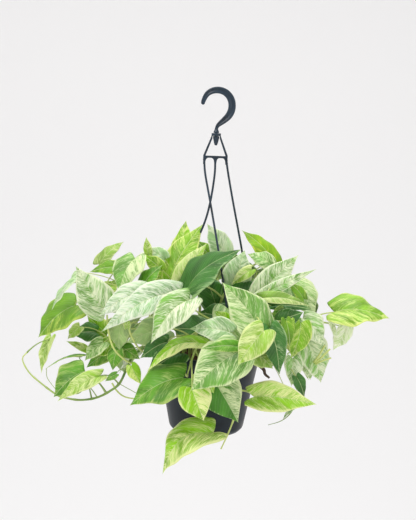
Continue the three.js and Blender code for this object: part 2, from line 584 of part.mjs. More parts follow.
// Leaf k of a back vine: the first stands high on the mound, the last hangs beside the pot.
function backLeaf(draw, azimuth, k) {
  const spread = azimuth + 34 * (draw() - 0.5);
  const climb = BACK_CLIMB - (BACK_SWEEP * k) / (BACK_LEAVES - 1) + 14 * (draw() - 0.5);
  const reach = BACK_REACH + BACK_REACH_GAIN * draw();
  const rise = reach * Math.sin(radians(climb));
  const radius = Math.max(reach * Math.cos(radians(climb)) + 16, rise < 0 ? LEAST_LOW_RADIUS : 0);
  const middle = polar(radius, spread, BACK_Z + 0.9 * rise);
  const outward = middle.clone().sub(vec(0, 0, BACK_Z - 10)).normalize();
  const droop = vec(outward.x, outward.y, 0).normalize().multiplyScalar(BACK_TILT).add(vec(0, 0, -0.8));
  droop.add(vec(-outward.y, outward.x, 0).multiplyScalar(1.1 * (draw() - 0.5))).normalize();
  const length = BACK_LENGTH + BACK_LENGTH_GAIN * draw();
  const width = length * (0.8 + 0.2 * draw());
  const base = middle.clone().addScaledVector(droop, -0.5 * length);
  const tip = middle.clone().addScaledVector(droop, 0.5 * length);
  const face = vec(outward.x * BACK_TILT, outward.y * BACK_TILT, 0.65);
  return new Leaf(base, tip, width, BACK_TURN * (draw() - 0.5), LEAF_BOW, face, outward);
}

// Leaf k of a crown vine, set round the vine's end.
function crownLeaf(draw, side, k) {
  const angle = 90 - side * (12 + (150 * k) / (CROWN_LEAVES - 1)) + 16 * (draw() - 0.5);
  const middle = polar(CROWN_RADIUS + 22 * draw(), angle, CROWN_Z + 22 * (draw() - 0.5));
  middle.add(vec(side * CROWN_CENTRE[0], CROWN_CENTRE[1], 0));
  const outward = vec(middle.x, middle.y - 10, 0).normalize();
  const droop = vec(outward.x, outward.y, -0.55 - 0.3 * draw()).normalize();
  const length = CROWN_LENGTH + 18 * draw();
  const width = length * (0.8 + 0.15 * draw());
  const base = middle.clone().addScaledVector(droop, -0.5 * length);
  const tip = middle.clone().addScaledVector(droop, 0.5 * length);
  return new Leaf(base, tip, width, BACK_TURN * (draw() - 0.5), LEAF_BOW, vec(0, 0, 1), vec(0, 0, 1));
}

function plant() {
  const front = FRONT_VINES.map(({ name, root, path, leaves }) => ({
    name, root, path: path.map(seen), leaves: leaves.map(frontLeaf),
  }));
  const back = BACK_VINES.map(({ name, root, azimuth }, i) => {
    const draw = drawer(BACK_SEED + 97 * i);
    const path = BACK_STEM.map(([radius, z], k) => polar(radius, azimuth + 6 * Math.sin(2 * k + i), z));
    const leaves = Array.from({ length: BACK_LEAVES }, (_, k) => backLeaf(draw, azimuth, k));
    return { name, root, path, leaves };
  });
  const crown = CROWN_VINES.map(({ name, root, path }, i) => {
    const draw = drawer(BACK_SEED + 1009 * (i + 1));
    const side = Math.sign(root[0]);
    return {
      name, root, path: path.map((p) => vec(...p)),
      leaves: Array.from({ length: CROWN_LEAVES }, (_, k) => crownLeaf(draw, side, k)),
    };
  });
  return [...front, ...back, ...crown];
}

// Blades that would cross are slid apart along their own `out`, a little at a time.
const SWEEPS = 70;
const SWEEP_STEP = 2;
const MOST_INWARD = 14;
const MOST_OUTWARD = 48;
const CONTACT_REACH = 16;
const LEAST_PUSH = 0.6;
const LEAST_SLANT = 0.35;
const SETTLED = 0.5;
const SAMPLES = [0.02, 0.25, 0.5, 0.75, 1].flatMap((u) => [-0.85, 0, 0.85].map((v) => [u, v]));

function spread(leaves) {
  const shapes = leaves.map((leaf) => SAMPLES.map(([u, v]) => ({
    point: leaf.at(u, v), normal: leaf.normalAt(u, v),
  })));
  const centres = leaves.map((leaf) => leaf.at(0.4, 0));
  const pairs = [];
  for (let i = 0; i < leaves.length; i++) {
    for (let j = i + 1; j < leaves.length; j++) {
      const push = leaves[i].out.clone().add(leaves[j].out);
      const near = 0.62 * (leaves[i].length + leaves[j].length) + 30;
      if (push.length() < LEAST_PUSH || centres[i].distanceTo(centres[j]) > near) continue;
      push.normalize();
      const iAbove = centres[i].clone().sub(centres[j]).dot(push) > 0;
      pairs.push(iAbove ? { above: i, below: j, push } : { above: j, below: i, push });
    }
  }
  const here = (i, sample) => sample.point.clone().addScaledVector(leaves[i].out, leaves[i].shift);
  const shortfall = ({ above, below, push }) => {
    const upper = shapes[above].map((sample) => here(above, sample));
    const lower = shapes[below].map((sample) => here(below, sample));
    let worst = 0;
    const test = (points, others, normals, sign) => points.forEach((a) => {
      let best = null;
      let least = CONTACT_REACH;
      others.forEach((b, k) => {
        const offset = a.clone().sub(b);
        const lateral = offset.clone().addScaledVector(push, -offset.dot(push)).length();
        if (lateral < least && Math.abs(normals[k].dot(push)) > LEAST_SLANT) {
          least = lateral;
          best = offset.dot(normals[k]) / normals[k].dot(push);
        }
      });
      if (best !== null) worst = Math.max(worst, LEAF_GAP - sign * best);
    });
    test(upper, lower, shapes[below].map((s) => s.normal), 1);
    test(lower, upper, shapes[above].map((s) => s.normal), -1);
    return worst;
  };
  for (let sweep = 0; sweep < SWEEPS; sweep++) {
    const moves = leaves.map(() => 0);
    let total = 0;
    for (const pair of pairs) {
      const lack = shortfall(pair);
      if (lack <= 0) continue;
      const move = Math.min(lack / 2, SWEEP_STEP);
      moves[pair.above] += move;
      moves[pair.below] -= move;
      total += lack;
    }
    leaves.forEach((leaf, i) => {
      const move = THREE.MathUtils.clamp(moves[i], -SWEEP_STEP, SWEEP_STEP);
      leaf.shift = THREE.MathUtils.clamp(leaf.shift + move, -MOST_INWARD, MOST_OUTWARD);
    });
    if (total < SETTLED) break;
  }
}

// A stem stands upright in its soil hole and then follows its path.
function stemLine({ root, path }) {
  const upright = [SOIL_Z - ROOT_DEPTH, SOIL_Z - 8, SOIL_Z + 7].map((z) => vec(root[0], root[1], z));
  const line = new THREE.CatmullRomCurve3([...upright, ...path]);
  return line.getSpacedPoints(Math.ceil(line.getLength() / INTERNODE));
}

// How many blades a line of points passes through, leaving out the blade that it carries.
function pierced(line, leaves, own) {
  let count = 0;
  const steps = line.slice(1).map((point, i) => ({ from: line[i], ray: point.clone().sub(line[i]) }));
  const start = line[0];
  const reach = line.reduce((most, point) => Math.max(most, point.distanceTo(start)), 0);
  for (const leaf of leaves) {
    if (leaf === own || leaf.at(0.4, 0).distanceTo(start) > reach + leaf.length) continue;
    const hit = leaf.facets().some(([a, b, c]) => steps.some(({ from, ray }) => crosses(from, ray, a, b, c)));
    if (hit) count += 1;
  }
  return count;
}

function crosses(from, ray, a, b, c) {
  const ab = b.clone().sub(a);
  const ac = c.clone().sub(a);
  const across = ray.clone().cross(ac);
  const scale = ab.dot(across);
  if (Math.abs(scale) < 1e-9) return false;
  const offset = from.clone().sub(a);
  const first = offset.dot(across) / scale;
  const turn = offset.cross(ab);
  const second = ray.dot(turn) / scale;
  const along = ac.dot(turn) / scale;
  return first >= 0 && second >= 0 && first + second <= 1 && along >= 0 && along <= 1;
}

// A stalk arches from its node on the stem to its blade. `sway` bends it sideways and `rise` upwards.
function stalkLine(node, leaf, sway, rise) {
  const end = leaf.at(0, 0).lerp(leaf.at(0.25, 0), Math.min(0.4, 4 / leaf.length + 0.1));
  end.addScaledVector(leaf.normal, -STALK_SEAT);
  const middle = node.clone().add(end).multiplyScalar(0.5).add(vec(0, 0, rise * node.distanceTo(end)));
  const across = end.clone().sub(node).cross(vec(0, 0, 1)).normalize();
  const line = new THREE.QuadraticBezierCurve3(node, middle.addScaledVector(across, sway), end);
  return line.getPoints(2);
}

// Points a few millimetres apart along a line, for measuring distances.
const DENSE_STEP = 3;

function dense(points) {
  const length = points.slice(1).reduce((sum, p, i) => sum + p.distanceTo(points[i]), 0);
  return new THREE.CatmullRomCurve3(points).getSpacedPoints(Math.ceil(length / DENSE_STEP));
}

function nearest(a, b) {
  let least = Infinity;
  a.forEach((p) => b.forEach((q) => { least = Math.min(least, p.distanceToSquared(q)); }));
  return Math.sqrt(least);
}

const BENDS = [0.22, 0.02, 0.45].flatMap((rise) => [0, 9, -9, 18, -18, 28, -28].map((sway) => [sway, rise]));
const STALK_ROOM = 5.5;
const ROOM_COST = 4;

// Each stalk takes the nearest free node of its stem and the bend that keeps it clear of the rest.
function growStalks(vines) {
  const leaves = vines.flatMap((vine) => vine.leaves);
  const strands = STRANDS.map(({ lug, path }) => dense([
    ...path.map((p) => vec(...p)), polar(LUG_RADIUS, lug, RIM_Z),
  ]));
  const rim = Array.from({ length: 120 }, (_, k) => polar(RIM_RADIUS - 2, 3 * k, RIM_Z - 3));
  vines.forEach((vine) => {
    vine.stem = stemLine(vine);
    vine.stemDense = dense(vine.stem);
  });
  const taken = [];
  vines.forEach((vine, i) => {
    const others = [...strands, rim, ...vines.filter((_, k) => k !== i).map((other) => other.stemDense)];
    const free = vine.stem.slice(3);
    vine.stalks = vine.leaves.map((leaf) => {
      const end = leaf.at(0, 0);
      free.sort((a, b) => a.distanceTo(end) - b.distanceTo(end));
      const node = free.length > 1 ? free.shift() : free[0];
      const foreign = taken.filter((stalk) => stalk.vine !== i).map((stalk) => stalk.body);
      let best = null;
      for (const [sway, rise] of BENDS) {
        const line = stalkLine(node, leaf, sway, rise);
        const body = dense(line);
        const room = Math.min(...[...others, ...foreign].map((other) => nearest(body, other)));
        const fault = pierced(line, leaves, leaf) + ROOM_COST * Math.max(0, STALK_ROOM - room);
        if (!best || fault < best.fault) best = { line, body, fault };
        if (fault === 0) break;
      }
      taken.push({ vine: i, body: best.body });
      return best.line;
    });
  });
}

// The stem of a vine and the stalks of its larger leaves.
function wood(vine, grow) {
  const parts = [solid(tube(vine.stem, [STEM_RADIUS + grow, STEM_RADIUS * STEM_TAPER + grow], 4))];
  const thick = STALK_RADIUS + grow;
  vine.stalks.forEach((line, k) => {
    if (vine.leaves[k].width > SOLID_WIDTH) parts.push(solid(tube(line, [thick, thick], 3)));
  });
  return joined(parts);
}

const largest = (made) => made.decompose().sort((a, b) => b.volume() - a.volume())[0];

// A blade gives way to other vines' stems and stalks, the hanger and the pot, then to earlier vines' blades.
function growVines(vines) {
  growStalks(vines);
  const fixed = joined([makeHanger(HARD_GAP), makePot(HARD_GAP)]);
  const woods = vines.map((vine) => wood(vine, 0));
  const wide = vines.map((vine) => wood(vine, HARD_GAP));
  const done = [];
  return vines.map((vine, i) => {
    const grownUp = vine.leaves.filter((leaf) => leaf.width > SOLID_WIDTH);
    const blades = joined(grownUp.map((leaf) => leaf.solid()));
    const obstacles = joined([fixed, ...wide.filter((_, k) => k !== i), ...done]);
    done.push(joined(grownUp.map((leaf) => leaf.solid(GAP))));
    return largest(woods[i].add(blades.subtract(obstacles)));
  });
}

const finish = (color, roughness) => new THREE.MeshStandardMaterial({ color, roughness, metalness: 0 });
const slate = finish(0x2b323b, 0.45);
const black = finish(0x2c2e36, 0.5);
const earth = finish(0x3a2a20, 1);
const greens = [0x6fa860, 0x86b86c, 0x5f9a58, 0x9cc27a];

const vines = plant();
spread(vines.flatMap((vine) => vine.leaves));
const soil = makeSoil(vines);
const grown = growVines(vines);

const pothos = new THREE.Group();
pothos.add(piece('hook', makeHook(), slate));
pothos.add(piece('hanger', makeHanger(), slate));
pothos.add(piece('pot', makePot(), black));
pothos.add(piece('soil', soil, earth));
grown.forEach((made, i) => pothos.add(piece(vines[i].name, made, finish(greens[i % greens.length], 0.5))));

export default pothos;
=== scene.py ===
"""A marble queen pothos in a hanging nursery pot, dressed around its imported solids.

The plant's sizes are in millimetres, the studio's are in metres, and every mesh is written in metres. +Z is
up, the viewer stands on the -Y side, and the origin is the inner crown of the hook.
"""

import logging
import math
from dataclasses import dataclass
from enum import Enum
from typing import Any, Sequence

import bmesh
import bpy
import numpy as np
from mathutils import Matrix, Vector

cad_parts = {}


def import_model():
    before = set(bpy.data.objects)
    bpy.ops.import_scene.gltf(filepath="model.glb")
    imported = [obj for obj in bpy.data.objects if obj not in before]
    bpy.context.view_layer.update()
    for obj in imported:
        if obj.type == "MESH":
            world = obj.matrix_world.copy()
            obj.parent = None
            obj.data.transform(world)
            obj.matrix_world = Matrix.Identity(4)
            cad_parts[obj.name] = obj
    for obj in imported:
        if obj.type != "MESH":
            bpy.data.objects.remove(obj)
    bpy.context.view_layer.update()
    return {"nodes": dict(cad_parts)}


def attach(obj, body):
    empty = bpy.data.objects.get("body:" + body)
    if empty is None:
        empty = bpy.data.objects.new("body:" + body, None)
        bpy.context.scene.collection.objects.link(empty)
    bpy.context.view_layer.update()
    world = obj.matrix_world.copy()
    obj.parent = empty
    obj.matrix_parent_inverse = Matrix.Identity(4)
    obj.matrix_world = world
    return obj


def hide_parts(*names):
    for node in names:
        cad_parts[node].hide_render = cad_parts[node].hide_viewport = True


LOG = logging.getLogger("pothos")
MM = 0.001

# Blades' UV units to the millimetre, and the colour sockets of a Mix node
UV_UNIT = 0.01
MIX_A = 6
MIX_B = 7
MIX_COLOUR = 2

# The front view: the plant was measured in a picture of 416 by 520 pixels taken from this eye point.
PICTURE = (416, 520)
EYE = np.array([-5.7, -1637.7, -46.2])
FOCAL = 1100.0
DOWN = math.radians(7.0)
ROLL = math.radians(2.0)
SENSOR = 36.0

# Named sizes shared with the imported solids
RIM_Z = -384.0
RIM_RADIUS = 86.0
POT_HEIGHT = 122.0
POT_TOP_RADIUS = 79.0
POT_FOOT_RADIUS = 56.0
POT_FOOT_BEVEL = 6.0
POT_WALL = 1.6
RIM_FLANGE = 1.8
SOIL_DEPTH = 15.0
SOIL_Z = RIM_Z - SOIL_DEPTH
PLATE_TOP = -58.0
PLATE_UNDER = -62.0
BAR_Z = -93.0
BAR_HALF = 16.5
STRAND_RADIUS = 1.6
LUG_RADIUS = 81.9


def linear(code: str) -> tuple[float, float, float, float]:
    """Turns an sRGB hex code into a linear colour.

    Args:
        code: A colour such as "#8fc21e".

    Returns:
        Red, green, blue and an alpha of 1.
    """
    parts = [int(code[i:i + 2], 16) / 255 for i in (1, 3, 5)]
    red, green, blue = [p / 12.92 if p <= 0.04045 else ((p + 0.055) / 1.055) ** 2.4 for p in parts]
    return red, green, blue, 1.0


def unit(vector: np.ndarray) -> np.ndarray:
    """Returns the vector at length 1."""
    return vector / np.linalg.norm(vector)


def polar(radius: float, degrees: float, z: float) -> np.ndarray:
    """Returns the point at a radius and an angle about the pot's axis."""
    angle = math.radians(degrees)
    return np.array([radius * math.cos(angle), radius * math.sin(angle), z])


def view_axes() -> tuple[np.ndarray, np.ndarray, np.ndarray]:
    """Returns the camera's right, up and forward directions."""
    level = np.array([1.0, 0.0, 0.0])
    lift = np.array([0.0, math.sin(DOWN), math.cos(DOWN)])
    forward = np.array([0.0, math.cos(DOWN), -math.sin(DOWN)])
    right = math.cos(ROLL) * level + math.sin(ROLL) * lift
    up = -math.sin(ROLL) * level + math.cos(ROLL) * lift
    return right, up, forward


def seen(point: Sequence[float]) -> np.ndarray:
    """Finds a point of the front view in space.

    Args:
        point: The pixel's column and row, and the depth along Y in millimetres.

    Returns:
        The point in millimetres.
    """
    column, row, depth = point
    right, up, forward = view_axes()
    across = (column - PICTURE[0] / 2) / FOCAL
    above = (PICTURE[1] / 2 - row) / FOCAL
    ray = forward + across * right + above * up
    return EYE + ray * (depth - EYE[1]) / ray[1]


class Path:
    """A smooth centripetal curve through points."""

    DIVISIONS = 200

    def __init__(self, points: Sequence[Sequence[float]]) -> None:
        """Keeps the points, with one more beyond each end.

        Args:
            points: The points that the curve passes through.
        """
        inner = np.array(points, float)
        self.count = len(inner)
        self.points = np.vstack([2 * inner[0] - inner[1], inner, 2 * inner[-1] - inner[-2]])
        table = self.at(np.linspace(0, 1, self.DIVISIONS + 1))
        self.lengths = np.concatenate([[0.0], np.cumsum(np.linalg.norm(np.diff(table, axis=0), axis=1))])

    @property
    def length(self) -> float:
        """The length of the curve."""
        return float(self.lengths[-1])

    def at(self, shares: np.ndarray) -> np.ndarray:
        """Finds points of the curve.

        Args:
            shares: Shares of the run of given points, from 0 at the first to 1 at the last.

        Returns:
            One point for each share.
        """
        places = np.asarray(shares, float) * (self.count - 1)
        start = np.minimum(places.astype(int), self.count - 2)
        weight = (places - start)[:, None]
        x0, x1, x2, x3 = (self.points[start + k] for k in range(4))
        root = lambda a, b: np.maximum(np.sum((b - a) ** 2, axis=1) ** 0.25, 1e-4)[:, None]
        d0, d1, d2 = root(x0, x1), root(x1, x2), root(x2, x3)
        t1 = ((x1 - x0) / d0 - (x2 - x0) / (d0 + d1) + (x2 - x1) / d1) * d1
        t2 = ((x2 - x1) / d1 - (x3 - x1) / (d1 + d2) + (x3 - x2) / d2) * d1
        square = -3 * x1 + 3 * x2 - 2 * t1 - t2
        cube = 2 * x1 - 2 * x2 + t1 + t2
        return x1 + t1 * weight + square * weight ** 2 + cube * weight ** 3

    def spaced(self, steps: int) -> np.ndarray:
        """Returns steps + 1 points at equal distances along the curve."""
        targets = np.linspace(0, 1, steps + 1) * self.length
        return self.at(np.interp(targets, self.lengths, np.linspace(0, 1, self.DIVISIONS + 1)))


class Graph:
    """A node tree that is filled one node at a time."""

    def __init__(self, tree: bpy.types.NodeTree) -> None:
        """Empties the tree.

        Args:
            tree: A material's, a world's or a geometry node tree.
        """
        self.tree = tree
        tree.nodes.clear()

    def add(self, kind: str, *first: Any, named: dict[Any, Any] | None = None,
            **settings: Any) -> bpy.types.Node:
        """Adds a node.

        Args:
            kind: The node's type name.
            first: Its first inputs in their order: a node or a socket to link, or a value.
            named: More of its inputs, by name or place.
            settings: Properties of the node.

        Returns:
            The node.
        """
        made = self.tree.nodes.new(kind)
        for key, value in settings.items():
            setattr(made, key, value)
        for key, value in [*enumerate(first), *(named or {}).items()]:
            if isinstance(value, bpy.types.Node):
                value = value.outputs[0]
            if isinstance(value, bpy.types.NodeSocket):
                self.tree.links.new(value, made.inputs[key])
            else:
                made.inputs[key].default_value = value
        return made


def material(name: str) -> tuple[bpy.types.Material, Graph]:
    """Makes a node material.

    Args:
        name: The finish's own name.

    Returns:
        The material and its empty graph.
    """
    made = bpy.data.materials.new(name)
    made.use_nodes = True
    return made, Graph(made.node_tree)


@dataclass(frozen=True)
class Marbling:
    """The two colours of a blade and how much of it is pale."""

    green: str
    pale: str
    share: float


class Look(Enum):
    """The kinds of marbling that the leaves of this plant show; the colours of three of them also hold
    painted light and painted shade.
    """

    LIME = Marbling("#7cae08", "#dcea84", 0.32)
    VIVID = Marbling("#7ca400", "#c4d43c", 0.2)
    # Lime leaves in paler, brighter colours than their own: partly their lime colour, partly painted light on
    # leaves that the lamps leave in shade.
    LIME_WITH_PAINTED_LIGHT = Marbling("#90c414", "#ecf4a4", 0.42)
    GOLD = Marbling("#94ba34", "#dce89c", 0.42)
    FRESH = Marbling("#6a9814", "#b8d058", 0.2)
    MID = Marbling("#5c941e", "#b4ca70", 0.26)
    SPECKLED = Marbling("#4c8a1c", "#dce8b0", 0.22)
    # Dark green leaves, also used where leaves stand in shade: partly the leaves' own dark green, partly
    # painted shade.
    DARK = Marbling("#3c7024", "#a0c080", 0.08)
    # Very pale yellowish leaves that face away from the lamps: painted backlight, the glow of light shining
    # through thin blades.
    THIN = Marbling("#c0d884", "#f2f6d8", 0.5)
    MARBLED = Marbling("#70a23c", "#dceab0", 0.38)
    STRIPED = Marbling("#78ac40", "#e6efc8", 0.46)
    CREAM = Marbling("#86ae68", "#dee7cc", 0.54)
    PALE = Marbling("#98bc76", "#d8e6be", 0.38)
    OLIVE = Marbling("#84a63c", "#ccd890", 0.32)
    UNDER = Marbling("#96b066", "#bacb8a", 0.32)


@dataclass(frozen=True)
class Row:
    """A leaf of the front view, as [column, row, depth] points and sizes in millimetres.

    split is above 0 where the half on the clockwise side of the midrib is paler, and below 0 where the other
    one is.
    """

    base: tuple[float, float, float]
    tip: tuple[float, float, float]
    width: float
    turn: float
    bow: float
    look: Look
    split: float = 0.0


@dataclass(frozen=True)
class VineRow:
    """A vine of the front view: its node, the place of its stem in the soil, its path and its leaves.

    young is the tone of its oldest wood, from 0 for old to 1 for young.
    """

    node: str
    root: tuple[float, float]
    path: tuple[tuple[float, float, float], ...]
    leaves: tuple[Row, ...]
    young: float = 0.55


FRONT_VINES = (
    VineRow("vine_left_high", (-38, -8), (
        (182, 342, -10), (166, 316, -20), (140, 300, -35), (112, 290, -42), (90, 283, -36)), (
        Row((78, 305, -40), (40.5, 336.5, -60), 48, 4, 0.12, Look.FRESH, -0.6),
        Row((107, 309, -75), (78, 266, -85), 52, 0, 0.1, Look.STRIPED),
        Row((177, 294, -85), (104, 330, -130), 40, -8, 0.24, Look.CREAM),
        Row((121, 268, -20), (90, 272, -30), 20, 0, 0.12, Look.FRESH),
        Row((99, 264, 0), (123.5, 241.5, 5), 22, 0, 0.1, Look.OLIVE),
        Row((78, 281, -56), (55, 309, -64), 20, 25, 0.12, Look.PALE),
        Row((80, 272, -20), (69, 281, -26), 12, 10, 0.1, Look.PALE),
        Row((102, 296, -25), (119, 279, -10), 26, 0, 0.1, Look.LIME),
        Row((152, 302, 10), (124, 290, 12), 34, 0, 0.1, Look.DARK),
        Row((150, 294, -84), (101, 315, -112), 36, 0, 0.2, Look.CREAM),
    )),
    VineRow("vine_top_left", (-18, 8), (
        (196, 340, 6), (189, 310, 0), (177, 290, -12), (163, 276, -20), (152, 262, -26)), (
        Row((136, 259, -40), (120, 293, -70), 39, 0, 0.14, Look.MARBLED, -1),
        Row((170, 280, 24), (203, 225, 60), 46, 0, 0.1, Look.LIME),
        Row((184, 262, 44), (186.5, 221, 60), 36, -20, 0.1, Look.LIME),
        Row((180, 281, -55), (207, 243, -50), 30, 10, 0.12, Look.GOLD, -1),
        Row((149, 254, -28), (146.5, 237, -30), 13, 0, 0.05, Look.GOLD),
        Row((161, 270, -42), (143, 255, -50), 22, 0, 0.12, Look.LIME),
        Row((144, 285, -50), (163, 265, -46), 24, 0, 0.1, Look.MID),
        Row((165, 259, 0), (147, 248, 6), 24, 0, 0.1, Look.PALE),
    )),
    VineRow("vine_top", (8, 20), (
        (214, 340, 18), (218, 312, 10), (226, 290, 5), (240, 273, 6), (254, 265, 8)), (
        Row((187, 291, -60), (241, 249.5, -75), 50, -28, 0.12, Look.DARK, 0.6),
        Row((234, 285, -34), (244.5, 250, -24), 44, 0, 0.1, Look.PALE),
        Row((224, 256, 20), (207, 224, 12), 36, 0, 0.1, Look.PALE, 0.5),
        Row((270, 264, 0), (247, 254, 8), 24, 0, 0.1, Look.MARBLED),
        Row((274, 263, 14), (242, 230, 20), 30, 10, 0.1, Look.VIVID),
        Row((251, 270, -56), (231, 285, -64), 18, 0, 0.1, Look.GOLD, 1),
        Row((213, 262, 40), (196, 240, 48), 30, 0, 0.1, Look.FRESH),
        Row((216, 306, 4), (203, 272, 16), 44, 0, 0.1, Look.DARK),
    )),
    VineRow("vine_middle_left", (-28, -32), (
        (190, 346, -36), (196, 334, -56), (208, 327, -76), (222, 325, -90)), (
        Row((190, 299, -112), (152.5, 341, -132), 44, 0, 0.26, Look.STRIPED, -0.6),
        Row((204, 347, -110), (147, 371, -138), 24, 36, 0.24, Look.LIME_WITH_PAINTED_LIGHT, -1),
        Row((180, 352, -95), (147, 374, -105), 38, 0, 0.14, Look.DARK),
        Row((230, 331, -125), (190, 327, -132), 34, 0, 0.12, Look.PALE),
        Row((231, 325, -115), (214, 311, -118), 20, 0, 0.1, Look.LIME),
        Row((166, 329, -66), (127, 342, -78), 42, 0, 0.12, Look.UNDER),
        Row((168, 341, -84), (141, 357, -90), 28, 0, 0.14, Look.DARK),
        Row((204, 332, -40), (172, 328, -34), 44, 0, 0.1, Look.DARK),
    )),
    VineRow("vine_front_left", (-14, -52), (
        (198, 350, -58), (196, 349, -84), (191, 362, -106), (187, 376, -112)), (
        Row((184, 376, -122), (131, 403, -132), 50, 22, 0.14, Look.MID),
        Row((192, 384, -135), (204, 416, -134), 45, 0, 0.12, Look.LIME_WITH_PAINTED_LIGHT, -0.9),
        Row((201, 372, -125), (214, 392, -130), 30, 0, 0.1, Look.LIME),
    )),
    VineRow("vine_front_trail", (18, -53), (
        (220, 348, -62), (228, 348, -88), (236, 362, -104), (237, 386, -104), (236, 410, -104),
        (233, 421, -106), (227, 436, -106), (221, 449, -106)), (
        Row((236, 350, -130), (191.5, 386.5, -154), 63, 10, 0.14, Look.MARBLED, 0.4),
        Row((211, 376, -114), (238, 421, -124), 62, 0, 0.12, Look.SPECKLED, -1.5),
        Row((254, 396, -112), (316, 403.5, -114), 40, -12, 0.1, Look.LIME_WITH_PAINTED_LIGHT, -0.4),
        Row((213, 434, -116), (162.6, 474, -120), 42, 34, 0.35, Look.LIME_WITH_PAINTED_LIGHT, -0.3),
        Row((254, 352, -128), (273, 369, -132), 30, 0, 0.1, Look.OLIVE),
        Row((238, 344, -138), (200, 346, -152), 16, 0, 0.12, Look.MID),
    ), 0.75),
    VineRow("vine_middle", (8, -22), (
        (216, 344, -26), (226, 328, -46), (240, 318, -68), (254, 322, -92), (262, 330, -106)), (
        Row((228, 309, -80), (236, 348, -112), 46, 0, 0.12, Look.MARBLED),
        Row((261, 333, -120), (222, 282, -118), 56, 0, 0.1, Look.MARBLED, -0.6),
        Row((262, 328.5, -150), (236.5, 362, -158), 41, 14, 0.1, Look.GOLD, 0.3),
        Row((236, 300, -60), (262, 282, -55), 40, 0, 0.1, Look.DARK),
        Row((228, 319, -24), (197, 313, -14), 40, 0, 0.1, Look.DARK),
    )),
    VineRow("vine_right_high", (38, -5), (
        (234, 342, -8), (240, 318, -20), (250, 302, -38), (263, 290, -50), (277, 282, -44)), (
        Row((260, 294, -70), (299, 255, -60), 40, 0, 0.1, Look.STRIPED),
        Row((262, 295, -80), (317, 269, -75), 18, 15, 0.12, Look.STRIPED),
        Row((263, 298, -95), (310, 306, -92), 17, 0, 0.14, Look.OLIVE, 1),
        Row((293, 285, -30), (316, 318, -45), 48, 0, 0.12, Look.MARBLED, -0.6),
        Row((292, 304, 6), (266, 283, 14), 38, 0, 0.1, Look.DARK),
        Row((304, 299, -66), (288, 281, -60), 16, 0, 0.1, Look.FRESH),
    )),
    VineRow("vine_right_mid", (42, -30), (
        (238, 347, -34), (252, 333, -52), (266, 322, -68), (281, 313, -76)), (
        Row((273, 306, -78), (313.5, 310, -76), 14, 0, 0.1, Look.DARK),
        Row((283, 309, -84), (270, 322, -88), 17, 0, 0.1, Look.MID, 1),
        Row((280, 321, -90), (303, 312, -90), 28, 0, 0.1, Look.DARK),
        Row((300, 323, -92), (291, 358, -100), 38, 0, 0.12, Look.LIME),
        Row((269, 328, -122), (279, 374, -132), 36, 0, 0.12, Look.DARK, -1),
        Row((258, 346, -104), (262, 369, -110), 26, 0, 0.1, Look.OLIVE),
        Row((285, 320, -104), (289, 346, -110), 18, 0, 0.1, Look.FRESH),
    )),
    VineRow("vine_right_low", (55, 5), (
        (247, 343, 3), (264, 336, -8), (284, 344, -20), (302, 356, -26), (313, 365, -28)), (
        Row((302, 318, -50), (323, 345, -58), 40, 0, 0.12, Look.STRIPED),
        Row((291, 357, -50), (290, 384, -56), 27, 0, 0.12, Look.STRIPED),
        Row((308, 342, -34), (321, 383, -46), 50, 0, 0.1, Look.STRIPED),
        Row((335, 312.5, -20), (390, 318.5, -28), 48, -24, 0.12, Look.LIME, 0.3),
        # The next two leaves carry painted backlight.
        Row((347, 327, 0), (334, 351, 6), 28, 0, 0.1, Look.THIN),
        Row((330, 322, -8), (335, 340, -12), 9, 0, 0.1, Look.THIN),
        Row((294, 374, -60), (302, 394, -62), 18, 0, 0.1, Look.DARK),
        Row((294, 408, -56), (283, 419, -58), 6, 40, 0.2, Look.PALE),
        Row((305, 350, -14), (310, 380, -20), 36, 0, 0.1, Look.STRIPED),
    )),
    VineRow("vine_left_trail", (-56, -12), (
        (166, 343, -22), (148, 346, -38), (133, 356, -52), (127, 368, -60), (119, 384, -62), (110, 391, -62),
        (97, 397.5, -62), (80, 400, -62), (66, 398, -62), (59, 396, -62), (42, 384, -60), (28, 371, -58),
        (22.5, 358, -56), (27, 352.5, -54)), (
        Row((87, 369, -60), (57, 394, -76), 46, 0, 0.12, Look.MID, 0.3),
        Row((102, 374, -85), (61, 398, -92), 23, 0, 0.16, Look.GOLD),
        Row((50, 339, -40), (40, 374, -48), 18, 0, 0.12, Look.GOLD),
        Row((82, 356, -48), (47, 368, -54), 14, 55, 0.12, Look.MID),
        Row((118, 372, -72), (107, 379, -76), 10, 0, 0.05, Look.MID),
        Row((133, 364, -74), (142, 382, -78), 20, 0, 0.1, Look.LIME, 1),
        Row((118, 350, -66), (113, 370, -72), 24, 0, 0.1, Look.MID),
    ), 0.08),
    VineRow("vine_left_low", (-52, 20), (
        (174, 343, 22), (150, 336, 22), (126, 337, 4), (108, 339, -14), (96, 338, -22)), (
        Row((95, 333, -34), (71, 335, -40), 28, 0, 0.12, Look.DARK),
        Row((80, 327, -44), (68, 339, -48), 18, 0, 0.1, Look.GOLD),
        Row((87, 350, -38), (66, 341, -44), 11, 20, 0.1, Look.GOLD),
        Row((104, 342, -46), (86, 360, -54), 24, 0, 0.12, Look.MARBLED),
        Row((113, 343, -40), (97, 356, -46), 26, 0, 0.1, Look.LIME),
        Row((110, 353, -28), (86, 368, -36), 24, 0, 0.12, Look.MID),
        Row((122, 325, -62), (120, 350, -66), 32, 0, 0.12, Look.UNDER),
        Row((128, 327, -98), (128.5, 313, -98), 10, 0, 0.05, Look.GOLD),
        Row((122, 345, -44), (141, 358, -46), 24, 0, 0.1, Look.MID),
        Row((106, 334, -24), (86, 316, -18), 30, 0, 0.1, Look.LIME),
    )),
)


@dataclass(frozen=True)
class Stray:
    """A bare stalk, root or dried sheath of the front view, with its radii in millimetres."""

    node: str
    points: tuple[tuple[float, float, float], ...]
    start: float
    end: float
    tone: float = 1.0
    dried: bool = False


